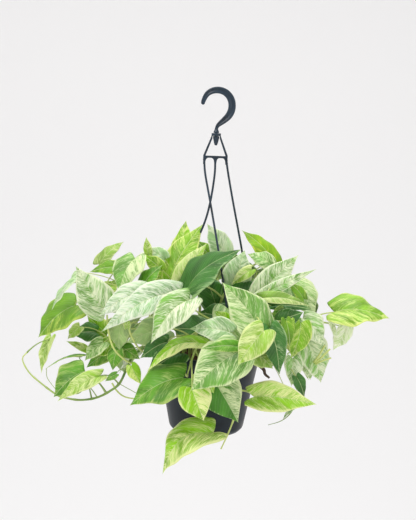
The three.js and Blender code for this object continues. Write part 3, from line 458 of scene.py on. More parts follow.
STRAYS = (
    Stray("vine_left_high", (
        (107, 315, -74), (108.6, 333, -84), (114, 349, -88), (125, 360, -80), (134, 364, -58)), 1.3, 1.5),
    Stray("vine_left_low", (
        (128, 326, -97), (131, 335, -97), (137, 346, -88), (146, 354, -50)), 1.2, 1.5),
    Stray("vine_left_trail", (
        (112, 383, -62), (117, 391, -62), (124, 396.5, -63), (136, 399, -70)), 1.3, 1.0, 0.9),
    Stray("vine_left_trail", (
        (119, 383.5, -62), (127, 388, -64), (136, 393, -70)), 0.6, 0.5, 0.4),
    Stray("vine_left_trail", (
        (46.5, 368, -54), (47, 377, -56), (53, 386, -60), (61, 395, -62)), 0.5, 0.4, 0.4),
    Stray("vine_left_trail", (
        (97, 397, -62), (93, 391, -68), (87, 384, -82)), 0.9, 0.6, 0.3),
    Stray("vine_right_low", (
        (311, 365, -34), (318, 357, -62), (325, 345, -64)), 1.8, 1.5),
    Stray("vine_right_low", (
        (311, 365, -34), (321, 358, -62), (330, 349, -60)), 1.7, 1.4),
    Stray("vine_right_low", (
        (311, 366, -34), (322, 361, -58), (331, 358, -54)), 1.5, 1.2),
    Stray("vine_right_low", (
        (303, 396, -62), (294, 408, -58), (289, 415, -58), (281, 421, -58), (268, 425, -58)), 1.2, 0.4, 0.3),
    Stray("vine_right_mid", (
        (258, 364, -106), (264, 370, -107), (265, 374, -108), (269.5, 378, -109)), 3.2, 1.5, 0.2, True),
)

# The vines that the front view hides, by rule from a seeded draw: node, place in the soil, azimuth.
BACK_VINES = (
    ("vine_back_right", (52, 26), 22), ("vine_back_right_outer", (34, 44), 50), ("vine_back", (8, 54), 78),
    ("vine_back_middle", (-16, 50), 106), ("vine_back_left_outer", (-36, 42), 134),
    ("vine_back_left", (-46, 30), 160),
)
BACK_STEM = ((62, -350), (92, -332), (122, -338), (146, -362))
BACK_LEAVES = 6
BACK_SEED = 20431
BACK_Z = -362.0
LEAST_LOW_RADIUS = 136.0
BACK_CLIMB = 39.0
BACK_SWEEP = 66.0
BACK_REACH = 120.0
BACK_REACH_GAIN = 32.0
BACK_LENGTH = 54.0
BACK_LENGTH_GAIN = 26.0
BACK_TILT = 0.75
BACK_TURN = 30.0
LEAF_BOW = 0.12
SEED_STEP = 97
CROWN_SEED_STEP = 1009
CROWN_VINES = (
    ("vine_crown_left", (-24, 24), ((-26, 22, -350), (-36, 30, -310), (-52, 40, -280))),
    ("vine_crown_right", (30, 20), ((32, 22, -350), (36, 34, -310), (50, 44, -280))),
)
CROWN_LEAVES = 3
CROWN_Z = -285.0
CROWN_CENTRE = (38.0, 34.0)
CROWN_RADIUS = 34.0
CROWN_LENGTH = 50.0
HIDDEN_LOOKS = (Look.FRESH, Look.MARBLED, Look.MID, Look.STRIPED, Look.LIME, Look.PALE, Look.DARK, Look.CREAM,
                Look.OLIVE, Look.MARBLED, Look.FRESH)

# How a front leaf faces: towards the eye, and more upwards the higher it stands
TO_EYE = unit(np.array([0.0, -0.99, 0.12]))
LEAST_FACING = 0.6
LOW_LEAF_Z = -420.0
LEAF_RISE = 180.0
FACE_FORWARD = 0.8
FACE_SIDE = 0.0034
FACE_UP_LOW = 0.42
FACE_UP_GAIN = 0.3


class Blade:
    """A leaf blade between the end of its stalk and its tip."""

    THICKNESS = 0.9
    FOLD = 0.22
    WAVE = 0.05
    TAPER = 1.4
    BASE_WIDTH = 0.74
    BELLY = 3.02
    LOBE = 0.15
    LOBE_PLACE = 0.72
    NORMAL_STEP = 0.02

    def __init__(self, base: np.ndarray, tip: np.ndarray, width: float, turn: float, bow: float,
                 face: np.ndarray, out: np.ndarray, look: Look, split: float = 0.0) -> None:
        """Sets the blade's own directions.

        Args:
            base: The end of the stalk.
            tip: The blade's tip.
            width: The blade's width.
            turn: Degrees that the face is turned about the midrib.
            bow: Rise of the midrib as a share of the length.
            face: The direction that the face looks along.
            out: The direction that the spreading moves the blade along.
            look: The marbling.
            split: Which half is paler.
        """
        self.base, self.width, self.bow, self.out = base, width, bow, out
        self.look, self.split = look, split
        self.length = float(np.linalg.norm(tip - base))
        self.along = (tip - base) / self.length
        flat = unit(face - face.dot(self.along) * self.along)
        angle = math.radians(turn)
        self.normal = flat * math.cos(angle) + np.cross(self.along, flat) * math.sin(angle)
        self.side = np.cross(self.along, self.normal)
        self.phase = (self.width * 7 + self.length * 3) % 6.28
        self.shift = 0.0

    def half_width(self, u: np.ndarray) -> np.ndarray:
        """Returns the distance from the midrib to the margin at these shares of the length."""
        return 0.5 * self.width * (1 - u) ** self.TAPER * (self.BASE_WIDTH + self.BELLY * u)

    def lobe(self, u: np.ndarray, v: np.ndarray) -> np.ndarray:
        """Returns how far the two lobes reach back past the end of the stalk."""
        return self.LOBE * self.length * (1 - u) ** 4 * np.sin(self.LOBE_PLACE * math.pi * np.abs(v))

    def at(self, u: np.ndarray | float, v: np.ndarray | float) -> np.ndarray:
        """Finds points of the blade's middle surface.

        Args:
            u: From 0 at the stalk to 1 at the tip.
            v: From -1 to 1 between the edges.

        Returns:
            The points, in the shape of u and v with 3 more.
        """
        u, v = np.broadcast_arrays(np.asarray(u, float), np.asarray(v, float))
        half = self.half_width(u)
        fold = self.FOLD * np.abs(v) * half * (1 - 0.5 * u)
        wave = self.WAVE * self.width * v * v * np.sin(self.phase + 9 * u + 1.5 * v) * (1 - u)
        lift = self.bow * self.length * np.sin(math.pi * u ** 0.8) + fold + wave
        run = u * self.length - self.lobe(u, v)
        return (self.base + self.out * self.shift + run[..., None] * self.along
                + (v * half)[..., None] * self.side + lift[..., None] * self.normal)

    def normal_at(self, u: np.ndarray | float, v: np.ndarray | float) -> np.ndarray:
        """Finds how the middle surface faces.

        Args:
            u: From 0 at the stalk to 1 at the tip.
            v: From -1 to 1 between the edges.

        Returns:
            The unit normals.
        """
        step = self.NORMAL_STEP
        low = np.clip(u, step, 0.9)
        du = self.at(low + step, v) - self.at(low - step, v)
        dv = self.at(low, v + step) - self.at(low, v - step)
        crossed = np.cross(dv, du)
        return crossed / np.linalg.norm(crossed, axis=-1, keepdims=True)


class Draw:
    """A repeatable draw between 0 and 1."""

    FACTOR = 48271
    PRIME = 2147483647

    def __init__(self, seed: int) -> None:
        """Keeps the seed."""
        self.state = seed

    def __call__(self) -> float:
        """Returns the next number."""
        self.state = (self.state * self.FACTOR) % self.PRIME
        return self.state / self.PRIME

    def about(self, middle: float, width: float) -> float:
        """Returns the next number, drawn from a range of this width about its middle."""
        return middle + width * (self() - 0.5)


@dataclass
class Vine:
    """A vine: the node that it replaces, its place in the soil, its path in space and its blades."""

    node: str
    root: tuple[float, float]
    path: list[np.ndarray]
    blades: list[Blade]
    young: float = 0.55


class Grower:
    """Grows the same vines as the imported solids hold, from the same named values."""

    SWEEPS = 70
    SWEEP_STEP = 2.0
    MOST_INWARD = 14.0
    MOST_OUTWARD = 48.0
    CONTACT_REACH = 16.0
    LEAST_PUSH = 0.6
    LEAST_SLANT = 0.35
    SETTLED = 0.5
    LEAF_GAP = 3.0
    SAMPLES_ALONG = (0.02, 0.25, 0.5, 0.75, 1)
    SAMPLES_ACROSS = (-0.85, 0, 0.85)
    NEAR_SHARE = 0.62
    NEAR_EXTRA = 30.0

    BACK_SPREAD = 34.0
    BACK_CLIMB_RANGE = 14.0
    BACK_OFFSET = 16.0
    BACK_FLATTENING = 0.9
    BACK_DROOP = -0.8
    BACK_LEAN = 1.1
    BACK_FACE_UP = 0.65
    BACK_FULLER = 0.2
    LEAST_FULL = 0.8

    CROWN_START = 12.0
    CROWN_SPREAD = 150.0
    CROWN_ANGLE_RANGE = 16.0
    CROWN_GAIN = 22.0
    CROWN_DROOP = -0.55
    CROWN_DROOP_GAIN = 0.3
    CROWN_LENGTH_GAIN = 18.0
    CROWN_FULLER = 0.15

    def front_blade(self, row: Row) -> Blade:
        """Makes a blade of the front view, its seen width made good for the slant of its face.

        Args:
            row: The leaf as the front view shows it.

        Returns:
            The blade.
        """
        start = seen(row.base)
        climb = min(max((start[2] - LOW_LEAF_Z) / LEAF_RISE, 0), 1)
        face = np.array([FACE_SIDE * start[0], -FACE_FORWARD, FACE_UP_LOW + FACE_UP_GAIN * climb])
        make = lambda width: Blade(start, seen(row.tip), width, row.turn, row.bow, face, TO_EYE,
                                   row.look, row.split)
        facing = abs(float(make(row.width).normal.dot(TO_EYE)))
        return make(row.width / max(facing, LEAST_FACING))

    def hidden_blade(self, draw: Draw, middle: np.ndarray, droop: np.ndarray,
                     sizes: tuple[float, float, float], face: np.ndarray, out: np.ndarray,
                     look: Look) -> Blade:
        """Makes a blade about its middle.

        Args:
            draw: Gives its length, width and turn, in this order.
            middle: The middle of its midrib.
            droop: The direction of its tip.
            sizes: The least length, its gain, and the gain of the width as a share of the length.
            face: The direction that the face looks along.
            out: The direction that the spreading moves the blade along.
            look: The marbling.

        Returns:
            The blade.
        """
        length = sizes[0] + sizes[1] * draw()
        width = length * (self.LEAST_FULL + sizes[2] * draw())
        turn = draw.about(0.0, BACK_TURN)
        reach = 0.5 * length * droop
        return Blade(middle - reach, middle + reach, width, turn, LEAF_BOW, face, out, look)

    def back_blade(self, draw: Draw, azimuth: float, k: int, look: Look) -> Blade:
        """Makes a blade of a back vine: the first stands high, the last hangs beside the pot.

        Args:
            draw: The vine's draw.
            azimuth: The vine's direction in degrees.
            k: The blade's place among the vine's blades.
            look: The marbling.

        Returns:
            The blade.
        """
        spread = draw.about(azimuth, self.BACK_SPREAD)
        climb = draw.about(BACK_CLIMB - BACK_SWEEP * k / (BACK_LEAVES - 1), self.BACK_CLIMB_RANGE)
        reach = BACK_REACH + BACK_REACH_GAIN * draw()
        rise = reach * math.sin(math.radians(climb))
        radius = reach * math.cos(math.radians(climb)) + self.BACK_OFFSET
        if rise < 0:
            radius = max(radius, LEAST_LOW_RADIUS)
        middle = polar(radius, spread, BACK_Z + self.BACK_FLATTENING * rise)
        outward = unit(middle - np.array([0, 0, BACK_Z - 10]))
        droop = unit(np.array([outward[0], outward[1], 0])) * BACK_TILT + np.array([0, 0, self.BACK_DROOP])
        sideways = np.array([-outward[1], outward[0], 0])
        droop = unit(droop + sideways * self.BACK_LEAN * (draw() - 0.5))
        face = np.array([outward[0] * BACK_TILT, outward[1] * BACK_TILT, self.BACK_FACE_UP])
        sizes = (BACK_LENGTH, BACK_LENGTH_GAIN, self.BACK_FULLER)
        return self.hidden_blade(draw, middle, droop, sizes, face, outward, look)

    def crown_blade(self, draw: Draw, side: float, k: int, look: Look) -> Blade:
        """Makes a blade of a crown vine, set round the vine's end.

        Args:
            draw: The vine's draw.
            side: -1 for the vine on the left, 1 for the one on the right.
            k: The blade's place among the vine's blades.
            look: The marbling.

        Returns:
            The blade.
        """
        start = 90 - side * (self.CROWN_START + self.CROWN_SPREAD * k / (CROWN_LEAVES - 1))
        angle = draw.about(start, self.CROWN_ANGLE_RANGE)
        radius = CROWN_RADIUS + self.CROWN_GAIN * draw()
        middle = polar(radius, angle, draw.about(CROWN_Z, self.CROWN_GAIN))
        middle = middle + np.array([side * CROWN_CENTRE[0], CROWN_CENTRE[1], 0])
        outward = unit(np.array([middle[0], middle[1] - 10, 0]))
        droop = np.array([outward[0], outward[1], self.CROWN_DROOP - self.CROWN_DROOP_GAIN * draw()])
        up = np.array([0.0, 0.0, 1.0])
        sizes = (CROWN_LENGTH, self.CROWN_LENGTH_GAIN, self.CROWN_FULLER)
        return self.hidden_blade(draw, middle, unit(droop), sizes, up, up, look)

    def vines(self) -> list[Vine]:
        """Returns all the vines, their blades spread clear of one another."""
        grown = [Vine(row.node, row.root, [seen(p) for p in row.path],
                      [self.front_blade(leaf) for leaf in row.leaves], row.young) for row in FRONT_VINES]
        for i, (node, root, azimuth) in enumerate(BACK_VINES):
            draw = Draw(BACK_SEED + SEED_STEP * i)
            path = [polar(radius, azimuth + 6 * math.sin(2 * k + i), z)
                    for k, (radius, z) in enumerate(BACK_STEM)]
            looks = [HIDDEN_LOOKS[(3 * k + 5 * i) % len(HIDDEN_LOOKS)] for k in range(BACK_LEAVES)]
            blades = [self.back_blade(draw, azimuth, k, look) for k, look in enumerate(looks)]
            grown.append(Vine(node, root, path, blades))
        for i, (node, root, path) in enumerate(CROWN_VINES):
            draw = Draw(BACK_SEED + CROWN_SEED_STEP * (i + 1))
            side = math.copysign(1.0, root[0])
            looks = [HIDDEN_LOOKS[(4 * k + 7 * i + 2) % len(HIDDEN_LOOKS)] for k in range(CROWN_LEAVES)]
            blades = [self.crown_blade(draw, side, k, look) for k, look in enumerate(looks)]
            grown.append(Vine(node, root, [np.array(p, float) for p in path], blades))
        self.spread([blade for vine in grown for blade in vine.blades])
        return grown

    def spread(self, blades: list[Blade]) -> None:
        """Slides blades that would cross apart along their own directions, a little at a time.

        Args:
            blades: All the blades, whose shifts are set.
        """
        grid = np.meshgrid(self.SAMPLES_ALONG, self.SAMPLES_ACROSS, indexing="ij")
        us, vs = (axis.ravel() for axis in grid)
        points = np.array([blade.at(us, vs) for blade in blades])
        normals = np.array([blade.normal_at(us, vs) for blade in blades])
        centres = np.array([blade.at(0.4, 0) for blade in blades])
        outs = np.array([blade.out for blade in blades])
        lengths = np.array([blade.length for blade in blades])
        first, second = np.triu_indices(len(blades), 1)
        push = outs[first] + outs[second]
        size = np.linalg.norm(push, axis=1)
        apart = np.linalg.norm(centres[first] - centres[second], axis=1)
        reach = self.NEAR_SHARE * (lengths[first] + lengths[second]) + self.NEAR_EXTRA
        near = (size >= self.LEAST_PUSH) & (apart <= reach)
        first, second, push = first[near], second[near], push[near] / size[near][:, None]
        over = np.einsum("ij,ij->i", centres[first] - centres[second], push) > 0
        above, below = np.where(over, first, second), np.where(over, second, first)
        shift = np.zeros(len(blades))

        def worst(upper: np.ndarray, lower: np.ndarray, slants: np.ndarray, sign: float) -> np.ndarray:
            """Finds how far each pair falls short of the gap, from one blade's points.

            Args:
                upper: The points of one blade of each pair.
                lower: The points of the other.
                slants: The other's normals.
                sign: 1 where the first blade is the outer one, -1 where it is the inner one.

            Returns:
                The largest lack of each pair, 0 where there is none.
            """
            offset = upper[:, :, None, :] - lower[:, None, :, :]
            run = np.einsum("pijk,pk->pij", offset, push)
            lateral = np.sqrt(np.maximum(np.sum(offset ** 2, axis=3) - run ** 2, 0))
            slant = np.einsum("pjk,pk->pj", slants, push)
            lateral = np.where(np.abs(slant)[:, None, :] > self.LEAST_SLANT, lateral, np.inf)
            best = np.argmin(lateral, axis=2)
            pair, row = np.indices(best.shape)
            height = np.einsum("pik,pik->pi", offset[pair, row, best], slants[pair, best])
            height = height / slant[pair, best]
            lack = np.where(lateral[pair, row, best] < self.CONTACT_REACH, self.LEAF_GAP - sign * height, 0)
            return np.maximum(lack.max(axis=1), 0)

        for _ in range(self.SWEEPS):
            here = points + (outs * shift[:, None])[:, None, :]
            lack = np.maximum(worst(here[above], here[below], normals[below], 1),
                              worst(here[below], here[above], normals[above], -1))
            move = np.minimum(lack / 2, self.SWEEP_STEP)
            moves = np.zeros(len(blades))
            np.add.at(moves, above, move)
            np.add.at(moves, below, -move)
            moves = np.clip(moves, -self.SWEEP_STEP, self.SWEEP_STEP)
            shift = np.clip(shift + moves, -self.MOST_INWARD, self.MOST_OUTWARD)
            if lack.sum() < self.SETTLED:
                break
        for blade, value in zip(blades, shift):
            blade.shift = float(value)


@dataclass(frozen=True)
class MarbledBlade:
    """A living leaf, grown: a waxy cuticle gives a soft satin sheen over green tissue that is marbled with
    cream along the side veins. The underside is matt and greyer, with raised veins.

    Sizes are in millimetres: each marking has a width and a run along the side veins. The streaks and the
    speckles are drawn coarser than the finest real ones, which wouldn't show.
    """

    name: str
    under: bool = False
    patch: float = 9.0
    patch_run: float = 17.0
    streak: float = 1.9
    streak_run: float = 9.0
    speckle: float = 1.2
    speckle_run: float = 3.4
    drift: float = 24.0
    drift_run: float = 38.0
    wander: float = 9.0
    wander_size: float = 15.0
    vein_gap: float = 6.5
    vein_slant: float = 0.75
    vein_curl: float = 0.022
    vein_share: float = 0.09
    midrib: float = 0.8
    vein_colour: str = "#d3e2a4"
    under_colour: str = "#b9c998"
    waxy: tuple[float, float] = (0.38, 0.5)
    matt: tuple[float, float] = (0.56, 0.66)
    sunken_rib: float = -1.2
    raised_rib: float = 1.5
    relief: float = 0.5

    # How much each part adds to the level, and the levels where the green washes out and turns to cream
    PATCH_WEIGHT = 0.36
    STREAK_WEIGHT = 0.34
    SPECKLE_WEIGHT = 0.3
    SPLIT_WEIGHT = 0.07
    SHARE_WEIGHT = 0.42
    MARGIN_WEIGHT = 0.16
    MARGIN_START = 0.8
    WASHED = (0.6, 0.71)
    CREAMY = (0.68, 0.79)
    DRIFT_RANGE = (0.35, 0.65, 0.74, 1.24)
    SEED_GAP = 57.0
    SCATTER = (0.0015, 0.0022, 0.0006)

    def make(self) -> bpy.types.Material:
        """Builds the material from the blade's own UV map and colour attributes."""
        made, graph = material(self.name)
        add = graph.add
        place = add("ShaderNodeSeparateXYZ", add("ShaderNodeUVMap", uv_map="blade"))
        across = add("ShaderNodeMath", place.outputs[0], 1 / UV_UNIT, operation="MULTIPLY")
        along = add("ShaderNodeMath", place.outputs[1], 1 / UV_UNIT, operation="MULTIPLY")
        from_rib = add("ShaderNodeMath", across, operation="ABSOLUTE")
        slope = add("ShaderNodeMath", from_rib, -self.vein_curl, -self.vein_slant, operation="MULTIPLY_ADD")
        slanted = add("ShaderNodeMath", from_rib, slope, along, operation="MULTIPLY_ADD")
        marks = add("ShaderNodeAttribute", attribute_name="marks")
        share, split, own = add("ShaderNodeSeparateXYZ", marks.outputs["Vector"]).outputs
        seed = add("ShaderNodeMath", own, self.SEED_GAP, operation="MULTIPLY")
        flat = add("ShaderNodeCombineXYZ", across, along, seed)
        loose = add("ShaderNodeTexNoise", flat, named={"Scale": 1 / self.wander_size})
        astray = add("ShaderNodeMath", loose, self.wander, slanted, operation="MULTIPLY_ADD")

        def pattern(width: float, run: float, offset: float, detail: float) -> bpy.types.Node:
            """Returns noise that is stretched along the side veins, by its width and run in millimetres."""
            x = add("ShaderNodeMath", across, run, operation="DIVIDE")
            y = add("ShaderNodeMath", astray, width, operation="DIVIDE")
            z = add("ShaderNodeMath", seed, offset, operation="ADD")
            spot = add("ShaderNodeCombineXYZ", x, y, z)
            return add("ShaderNodeTexNoise", spot, named={"Scale": 1.0, "Detail": detail, "Roughness": 0.55})

        patches = pattern(self.patch, self.patch_run, 0.0, 1.0)
        streaks = pattern(self.streak, self.streak_run, 11.0, 2.0)
        speckles = pattern(self.speckle, self.speckle_run, 31.0, 1.0)
        half = add("ShaderNodeMath", across, operation="SIGN")
        paler = add("ShaderNodeMath", split, half, operation="MULTIPLY")
        edge = add("ShaderNodeAttribute", attribute_name="tone").outputs["Fac"]
        margin = add("ShaderNodeMapRange", edge, self.MARGIN_START, 1.0, interpolation_type="SMOOTHSTEP")
        level = add("ShaderNodeMath", patches, self.PATCH_WEIGHT, operation="MULTIPLY")
        for part, weight in ((streaks, self.STREAK_WEIGHT), (speckles, self.SPECKLE_WEIGHT),
                             (paler, self.SPLIT_WEIGHT), (share, self.SHARE_WEIGHT),
                             (margin, self.MARGIN_WEIGHT)):
            level = add("ShaderNodeMath", part, weight, level, operation="MULTIPLY_ADD")
        washed, creamy = (
            add("ShaderNodeMapRange", level, *limits, 0.0, 0.5, interpolation_type="SMOOTHSTEP")
            for limits in (self.WASHED, self.CREAMY))
        cream = add("ShaderNodeMath", washed, creamy, operation="ADD")
        green = add("ShaderNodeAttribute", attribute_name="green").outputs["Color"]
        pale = add("ShaderNodeAttribute", attribute_name="pale").outputs["Color"]
        deeper = add("ShaderNodeMapRange", pattern(self.drift, self.drift_run, 23.0, 1.0), *self.DRIFT_RANGE)
        tissue = add("ShaderNodeVectorMath", green, named={"Scale": deeper}, operation="SCALE")
        marbled = add("ShaderNodeMix", cream, named={MIX_A: tissue, MIX_B: pale}, data_type="RGBA")
        turns = add("ShaderNodeMath", slanted, self.vein_gap, operation="DIVIDE")
        part = add("ShaderNodeMath", turns, operation="FRACT")
        middle = add("ShaderNodeMath", part, 0.5, operation="SUBTRACT")
        off_vein = add("ShaderNodeMath", middle, operation="ABSOLUTE")
        vein, rib = (
            add("ShaderNodeMapRange", off, *limits, 1.0, 0.0, interpolation_type="SMOOTHSTEP")
            for off, limits in ((off_vein, (0.0, self.vein_share)),
                                (from_rib, (0.25 * self.midrib, self.midrib))))
        line = add("ShaderNodeMath", vein, 0.1, operation="MULTIPLY")
        spine = add("ShaderNodeMath", rib, 0.55, operation="MULTIPLY")
        marked = add("ShaderNodeMath", line, spine, operation="MAXIMUM")
        ends = {MIX_A: marbled.outputs[MIX_COLOUR], MIX_B: linear(self.vein_colour)}
        colour = add("ShaderNodeMix", marked, named=ends, data_type="RGBA").outputs[MIX_COLOUR]
        if self.under:
            ends = {MIX_A: colour, MIX_B: linear(self.under_colour)}
            colour = add("ShaderNodeMix", 0.45, named=ends, data_type="RGBA").outputs[MIX_COLOUR]
        quilt = add("ShaderNodeMath", off_vein, 1.6, operation="MULTIPLY")
        rib_height = self.raised_rib if self.under else self.sunken_rib
        ribbed = add("ShaderNodeMath", rib, rib_height, quilt, operation="MULTIPLY_ADD")
        grain = add("ShaderNodeMath", streaks, 0.35, ribbed, operation="MULTIPLY_ADD")
        bump = add("ShaderNodeBump", named={"Strength": 0.5, "Distance": self.relief * MM, "Height": grain})
        sheen = add("ShaderNodeMapRange", streaks, 0.3, 0.7, *(self.matt if self.under else self.waxy))
        shader = add("ShaderNodeBsdfPrincipled", named={
            "Base Color": colour, "Roughness": sheen, "Normal": bump, "IOR": 1.42,
            "Subsurface Weight": 0.06, "Subsurface Radius": self.SCATTER, "Subsurface Scale": 1.0})
        add("ShaderNodeOutputMaterial", shader)
        return made


@dataclass(frozen=True)
class GreenStalk:
    """A living stalk or stem, grown: smooth and slightly waxy, yellow-green where young, darker with age.
    A dried sheath has the same skin in dull browns. Sizes are in millimetres."""

    name: str = "waxy_green_stalk"
    young: str = "#d2dd86"
    old: str = "#5f8a3e"
    roughness: float = 0.45
    blotch: float = 1000 / 90
    relief: float = 0.3

    def make(self) -> bpy.types.Material:
        """Builds the material from the piece's tone attribute."""
        made, graph = material(self.name)
        add = graph.add
        place = add("ShaderNodeTexCoord").outputs["Object"]
        tone = add("ShaderNodeAttribute", attribute_name="tone").outputs["Fac"]
        noise = add("ShaderNodeTexNoise", place, named={"Scale": 1 / (self.blotch * MM), "Detail": 2.0})
        shade = add("ShaderNodeMath", noise, 0.5, tone, operation="MULTIPLY_ADD")
        share = add("ShaderNodeMath", shade, 0.25, operation="SUBTRACT", use_clamp=True)
        ends = {MIX_A: linear(self.old), MIX_B: linear(self.young)}
        colour = add("ShaderNodeMix", share, named=ends, data_type="RGBA").outputs[MIX_COLOUR]
        bump = add("ShaderNodeBump", named={"Strength": 0.3, "Distance": self.relief * MM, "Height": noise})
        shader = add("ShaderNodeBsdfPrincipled", named={
            "Base Color": colour, "Roughness": self.roughness, "Normal": bump, "IOR": 1.42})
        add("ShaderNodeOutputMaterial", shader)
        return made


@dataclass(frozen=True)
class MouldedPlastic:
    """Injection-moulded polypropylene: a dark satin skin with the mould's fine spark texture and faint flow
    marks, so edges catch a soft light. Sizes are in millimetres. The grain is drawn coarser than the real
    0.1 to 0.2 mm, which wouldn't show."""

    name: str
    shade: str
    light: str
    roughness: float
    gloss: float
    grain: float = 0.9
    flow: float = 1000 / 28
    relief: float = 0.1

    def make(self) -> bpy.types.Material:
        """Builds the material on Object coordinates."""
        made, graph = material(self.name)
        add = graph.add
        place = add("ShaderNodeTexCoord").outputs["Object"]
        flow = add("ShaderNodeTexNoise", place, named={"Scale": 1 / (self.flow * MM), "Detail": 3.0})
        spark = add("ShaderNodeTexNoise", place, named={"Scale": 1 / (self.grain * MM), "Detail": 2.0})
        tone = add("ShaderNodeMapRange", flow, 0.35, 0.65)
        ends = {MIX_A: linear(self.shade), MIX_B: linear(self.light)}
        colour = add("ShaderNodeMix", tone, named=ends, data_type="RGBA").outputs[MIX_COLOUR]
        rough = add("ShaderNodeMapRange", flow, 0.3, 0.7, self.roughness - 0.05, self.roughness + 0.07)
        bump = add("ShaderNodeBump", named={"Strength": 0.25, "Distance": self.relief * MM, "Height": spark})
        shader = add("ShaderNodeBsdfPrincipled", named={
            "Base Color": colour, "Roughness": rough, "Normal": bump, "IOR": 1.49,
            "Specular IOR Level": self.gloss})
        add("ShaderNodeOutputMaterial", shader)
        return made


@dataclass(frozen=True)
class PottingMix:
    """Loose peat and bark, heaped: dark matt crumbs of many browns, which swallow the light. Sizes are in
    millimetres."""

    name: str = "loose_potting_mix"
    peat: str = "#2b1d14"
    bark: str = "#6a4a31"
    crumb: float = 2.2
    fibre: float = 6.25
    relief: float = 1.0

    def make(self) -> bpy.types.Material:
        """Builds the material on Object coordinates."""
        made, graph = material(self.name)
        add = graph.add
        place = add("ShaderNodeTexCoord").outputs["Object"]
        crumbs = add("ShaderNodeTexVoronoi", place, named={"Scale": 1 / (self.crumb * MM)})
        noise = add("ShaderNodeTexNoise", place, named={"Scale": 1 / (self.fibre * MM), "Detail": 4.0})
        ends = {MIX_A: linear(self.peat), MIX_B: linear(self.bark)}
        colour = add("ShaderNodeMix", crumbs.outputs["Color"], named=ends, data_type="RGBA")
        height = add("ShaderNodeMath", crumbs.outputs["Distance"], noise, operation="ADD")
        bump = add("ShaderNodeBump", named={"Strength": 0.8, "Distance": self.relief * MM, "Height": height})
        shader = add("ShaderNodeBsdfPrincipled", named={
            "Base Color": colour.outputs[MIX_COLOUR], "Roughness": 0.95, "Normal": bump, "IOR": 1.4})
        add("ShaderNodeOutputMaterial", shader)
        return made


@dataclass(frozen=True)
class PaintedWall:
    """Matt emulsion on a smooth wall and floor: a plain pale ground with hardly any texture. Sizes are in
    millimetres."""

    name: str = "pale_matt_emulsion"
    colour: str = "#fbfaf9"
    stipple: float = 1000 / 220
    relief: float = 0.2

    def make(self) -> bpy.types.Material:
        """Builds the stage's material."""
        made, graph = material(self.name)
        add = graph.add
        place = add("ShaderNodeTexCoord").outputs["Object"]
        noise = add("ShaderNodeTexNoise", place, named={"Scale": 1 / (self.stipple * MM)})
        bump = add("ShaderNodeBump", named={"Strength": 0.02, "Distance": self.relief * MM, "Height": noise})
        shader = add("ShaderNodeBsdfPrincipled", named={
            "Base Color": linear(self.colour), "Roughness": 0.9, "Normal": bump})
        add("ShaderNodeOutputMaterial", shader)
        return made


def points_of(mesh: bpy.types.Mesh) -> np.ndarray:
    """Returns the mesh's points in millimetres."""
    points = np.zeros(len(mesh.vertices) * 3)
    mesh.vertices.foreach_get("co", points)
    return points.reshape(-1, 3) / MM


def linked(name: str, data: bpy.types.ID) -> bpy.types.Object:
    """Adds an object with this data to the scene."""
    made = bpy.data.objects.new(name, data)
    bpy.context.scene.collection.objects.link(made)
    return made


class Skin:
    """Collects vertices, faces and their values for one mesh."""

    SIZES = {"green": 4, "pale": 4, "marks": 3, "tone": 1, "uv": 2}
    KINDS = {"green": ("FLOAT_COLOR", "color"), "pale": ("FLOAT_COLOR", "color"),
             "marks": ("FLOAT_VECTOR", "vector"), "tone": ("FLOAT", "value")}

    def __init__(self) -> None:
        """Starts with nothing in it."""
        self.points: list[np.ndarray] = []
        self.faces: list[tuple[int, ...]] = []
        self.slots: list[int] = []
        self.values: dict[str, list[np.ndarray]] = {name: [] for name in self.SIZES}
        self.count = 0

    def add(self, points: np.ndarray, faces: Sequence[Sequence[int]], slots: int | Sequence[int] = 0,
            **values: np.ndarray) -> None:
        """Adds a closed part.

        Args:
            points: Its vertices in millimetres.
            faces: Its faces as places in points.
            slots: The material slot of each face, or of them all.
            values: Values of the vertices by attribute name.
        """
        self.points.append(points)
        self.faces.extend(tuple(int(i) + self.count for i in face) for face in faces)
        self.slots.extend(np.broadcast_to(slots, len(faces)).tolist())
        for name, size in self.SIZES.items():
            value = np.asarray(values.get(name, np.zeros(size)), float)
            self.values[name].append(np.broadcast_to(value.reshape(-1, size), (len(points), size)))
        self.count += len(points)

    def take(self, mesh: bpy.types.Mesh, slot: int = 0) -> None:
        """Adds a mesh with its tone, where it has one, and removes it."""
        values = {}
        if "tone" in mesh.attributes:
            values["tone"] = np.zeros(len(mesh.vertices))
            mesh.attributes["tone"].data.foreach_get("value", values["tone"])
        self.add(points_of(mesh), [tuple(face.vertices) for face in mesh.polygons], slot, **values)
        bpy.data.meshes.remove(mesh)

    def mesh(self, name: str, materials: Sequence[bpy.types.Material]) -> bpy.types.Mesh:
        """Makes the mesh.

        Args:
            name: Its name.
            materials: The materials of its slots.

        Returns:
            The mesh in metres, smooth, with its attributes and its UV map.
        """
        made = bpy.data.meshes.new(name)
        made.from_pydata((np.vstack(self.points) * MM).tolist(), [], self.faces)
        for finish in materials:
            made.materials.append(finish)
        made.polygons.foreach_set("material_index", self.slots)
        for key, (kind, part) in self.KINDS.items():
            layer = made.attributes.new(key, kind, "POINT")
            layer.data.foreach_set(part, np.vstack(self.values[key]).astype(np.float32).ravel())
        corners = np.zeros(len(made.loops), int)
        made.loops.foreach_get("vertex_index", corners)
        chart = made.uv_layers.new(name="blade")
        chart.data.foreach_set("uv", np.vstack(self.values["uv"])[corners].astype(np.float32).ravel())
        made.shade_smooth()
        made.validate()
        return made


def plain_mesh(holder: bpy.types.Object) -> bpy.types.Mesh:
    """Returns the evaluated object's result as a mesh of its own."""
    graph = bpy.context.evaluated_depsgraph_get()
    graph.update()
    return bpy.data.meshes.new_from_object(holder.evaluated_get(graph), depsgraph=graph)


